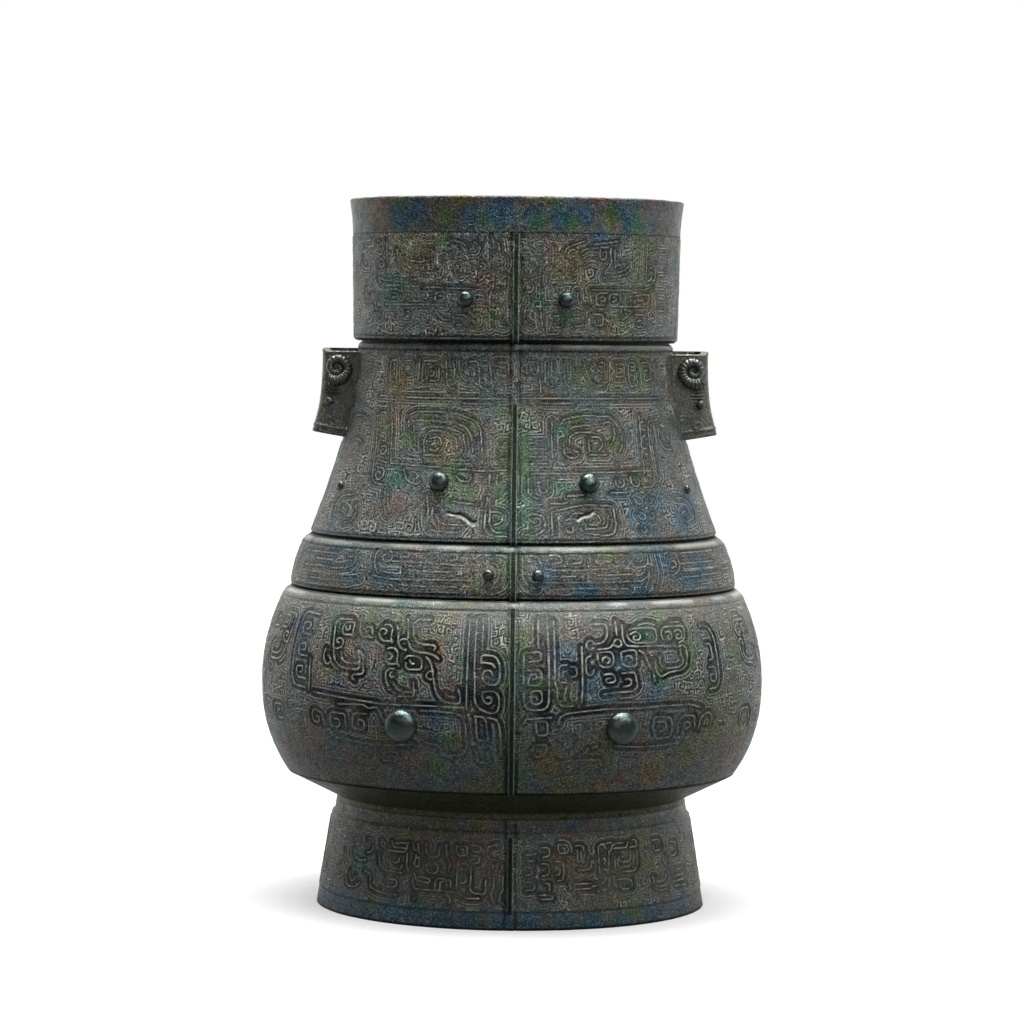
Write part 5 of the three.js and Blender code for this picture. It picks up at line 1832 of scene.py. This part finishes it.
points = [np.array([x * LUG_EYE_ACROSS, -y * LUG_HALF_DEPTH, LUG_EYE_Z]) for x, y in SIGNS]
ways = [np.array([0, -y, 0]) for x, y in SIGNS]
eyes = grow(
    "lug_eyes", base_points("lug_eye", points, ways), eye_tree,
    Radius=LUG_EYE_RADIUS * MM, Height=LUG_EYE_HEIGHT * MM, Finish=HORN_BRONZE,
)
keep(eyes, four_ways("lug_eye"))

# %% [markdown]
# ## Lugs
#
# A carrying cord ran through an upright tube on each narrow side. The tube is a box with soft corners
# that spreads a little towards its foot, and it is let into the neck. Its points are laid out ring by
# ring, up the outside and down the bore, so the beads, ribs and the small ring on its faces can be
# added as height, like the relief of the panels.

# %% Sizes of the lugs
LUG_TOP = 316.0
LUG_HEIGHT = 50.0
LUG_ROWS = 110
LUG_BORE_ROWS = 12
LUG_COLUMNS = 224
# the middle of its plan, the half width it reaches to, and how far it spreads at the foot
LUG_MIDDLE = NECK_TOP
LUG_REACH = 109.2
LUG_SPREAD = 5.8
LUG_SPREAD_BEND = 2.5
# 1 is an oval tube, 0 a box
LUG_SQUARENESS = 0.42
LUG_OUTER_WALL = 3.6
LUG_SIDE_WALL = 2.8
# how deep the outside and the bore are let into the neck
LUG_LET_IN = 2.8
BORE_LET_IN = 2.2
# how much higher the lower end is on the outside
LUG_SLANT = 3.0
LUG_LIP_WORN = 1.5
LUG_EDGE_ROUND = 1.0
# a bead: how high up it runs, half its width, how far it stands out
LUG_BEADS = ((4.2, 0.7, 0.5), (48.8, 0.8, 0.25))
RIBS_UP = 25.4
RIBS_REACH = 3.2
RIB_PITCH = 1.9
RING_ACROSS = 103.0
RING_UP = 7.3
RING_RADIUS = 1.8
RING_HALF_WIDTH = 0.8
DETAIL_HEIGHT = 0.6
# half widths between which the ribs come in, and from and over which the slant does
RIBS_FROM = (98.0, 100.0)
SLANT_FROM = 97.0
SLANT_SPAN = 18.0
# heights between which the slant fades out, and the depth of the worn part of the front lip
SLANT_FADE = (5.0, 22.0)
WORN_DEPTH = 4

# %% Lugs
def neck_face(z, y):
    """The neck wall's half width at a height above the floor and a depth"""
    width = neck_outline(np.clip(z - REGISTERS["neck"][0], 0, NECK_HEIGHT))
    return width * np.sqrt(np.clip(1 - (y / (width * DEPTH_TO_WIDTH)) ** 2, 0, 1))


def rounded_box(turn):
    """Where a box with soft corners lies at an angle, from -1 to 1 each way"""
    return [np.sign(part) * np.abs(part) ** LUG_SQUARENESS for part in (np.cos(turn), np.sin(turn))]


def face_detail(x, up):
    """How far the lug's flat faces rise: short ribs half way up, a small ring near the foot"""
    wave = ridge(up - RIBS_UP, RIBS_REACH) * np.cos(2 * np.pi * (up - RIBS_UP) / RIB_PITCH)
    ribs = DETAIL_HEIGHT * smooth_step(x, *RIBS_FROM) * wave
    from_ring = np.hypot(x - RING_ACROSS, up - RING_UP) - RING_RADIUS
    return ribs + DETAIL_HEIGHT * ridge(from_ring, RING_HALF_WIDTH)


def lug(name, x_side):
    plan_x, plan_y = rounded_box(np.linspace(0, 2 * np.pi, LUG_COLUMNS, endpoint=False))
    on_face = smooth_step(np.abs(plan_y), 0.85, 0.97)
    rows = []
    ups = np.concatenate([np.linspace(0, LUG_HEIGHT, LUG_ROWS), np.linspace(LUG_HEIGHT, 0, LUG_BORE_ROWS)])
    for k, up in enumerate(ups):
        bore = k >= LUG_ROWS
        reach = LUG_REACH + LUG_SPREAD * np.clip(1 - up / LUG_HEIGHT, 0, 1) ** LUG_SPREAD_BEND
        x = LUG_MIDDLE + (reach - LUG_MIDDLE - bore * LUG_OUTER_WALL) * plan_x
        y = (LUG_HALF_DEPTH - bore * LUG_SIDE_WALL) * plan_y
        if not bore:
            raised = sum(out * ridge(up - at, half_width) for at, half_width, out in LUG_BEADS)
            for end in (up, LUG_HEIGHT - up):
                raised -= 0.5 * edge_round(end, LUG_EDGE_ROUND, LUG_EDGE_ROUND)
            x = x + raised * plan_x
            y = y + raised * plan_y
            y = y + np.sign(plan_y) * on_face * face_detail(x, up)
        # the front lip is worn lower than the rest of the tube's upper end
        worn = smooth_step(up, LUG_HEIGHT - WORN_DEPTH, LUG_HEIGHT) * smooth_step(-plan_y, 0.6, 0.9)
        # the tube's lower end is cut a little aslant
        aslant = np.clip((x - SLANT_FROM) / SLANT_SPAN, 0, 1) * (1 - smooth_step(up, *SLANT_FADE))
        z = LUG_TOP - LUG_HEIGHT + up - LUG_LIP_WORN * worn + LUG_SLANT * aslant
        wall = neck_face(z, y) - (BORE_LET_IN if bore else LUG_LET_IN)
        rows.append(np.stack([x_side * np.maximum(x, wall), y, z], axis=-1))
    points = np.array(rows)
    quads, caps = loop_quads(*points.shape[:2], True)
    if x_side < 0:
        quads = quads[:, ::-1]
    return mesh_piece(name, points.reshape(-1, 3), quads, caps, LUG_BRONZE)


for hand, x in HANDS.items():
    keep(lug(f"{hand}_lug_tube", x), [f"{hand}_lug"])
print("lugs of", LUG_ROWS + LUG_BORE_ROWS, "by", LUG_COLUMNS, "points")
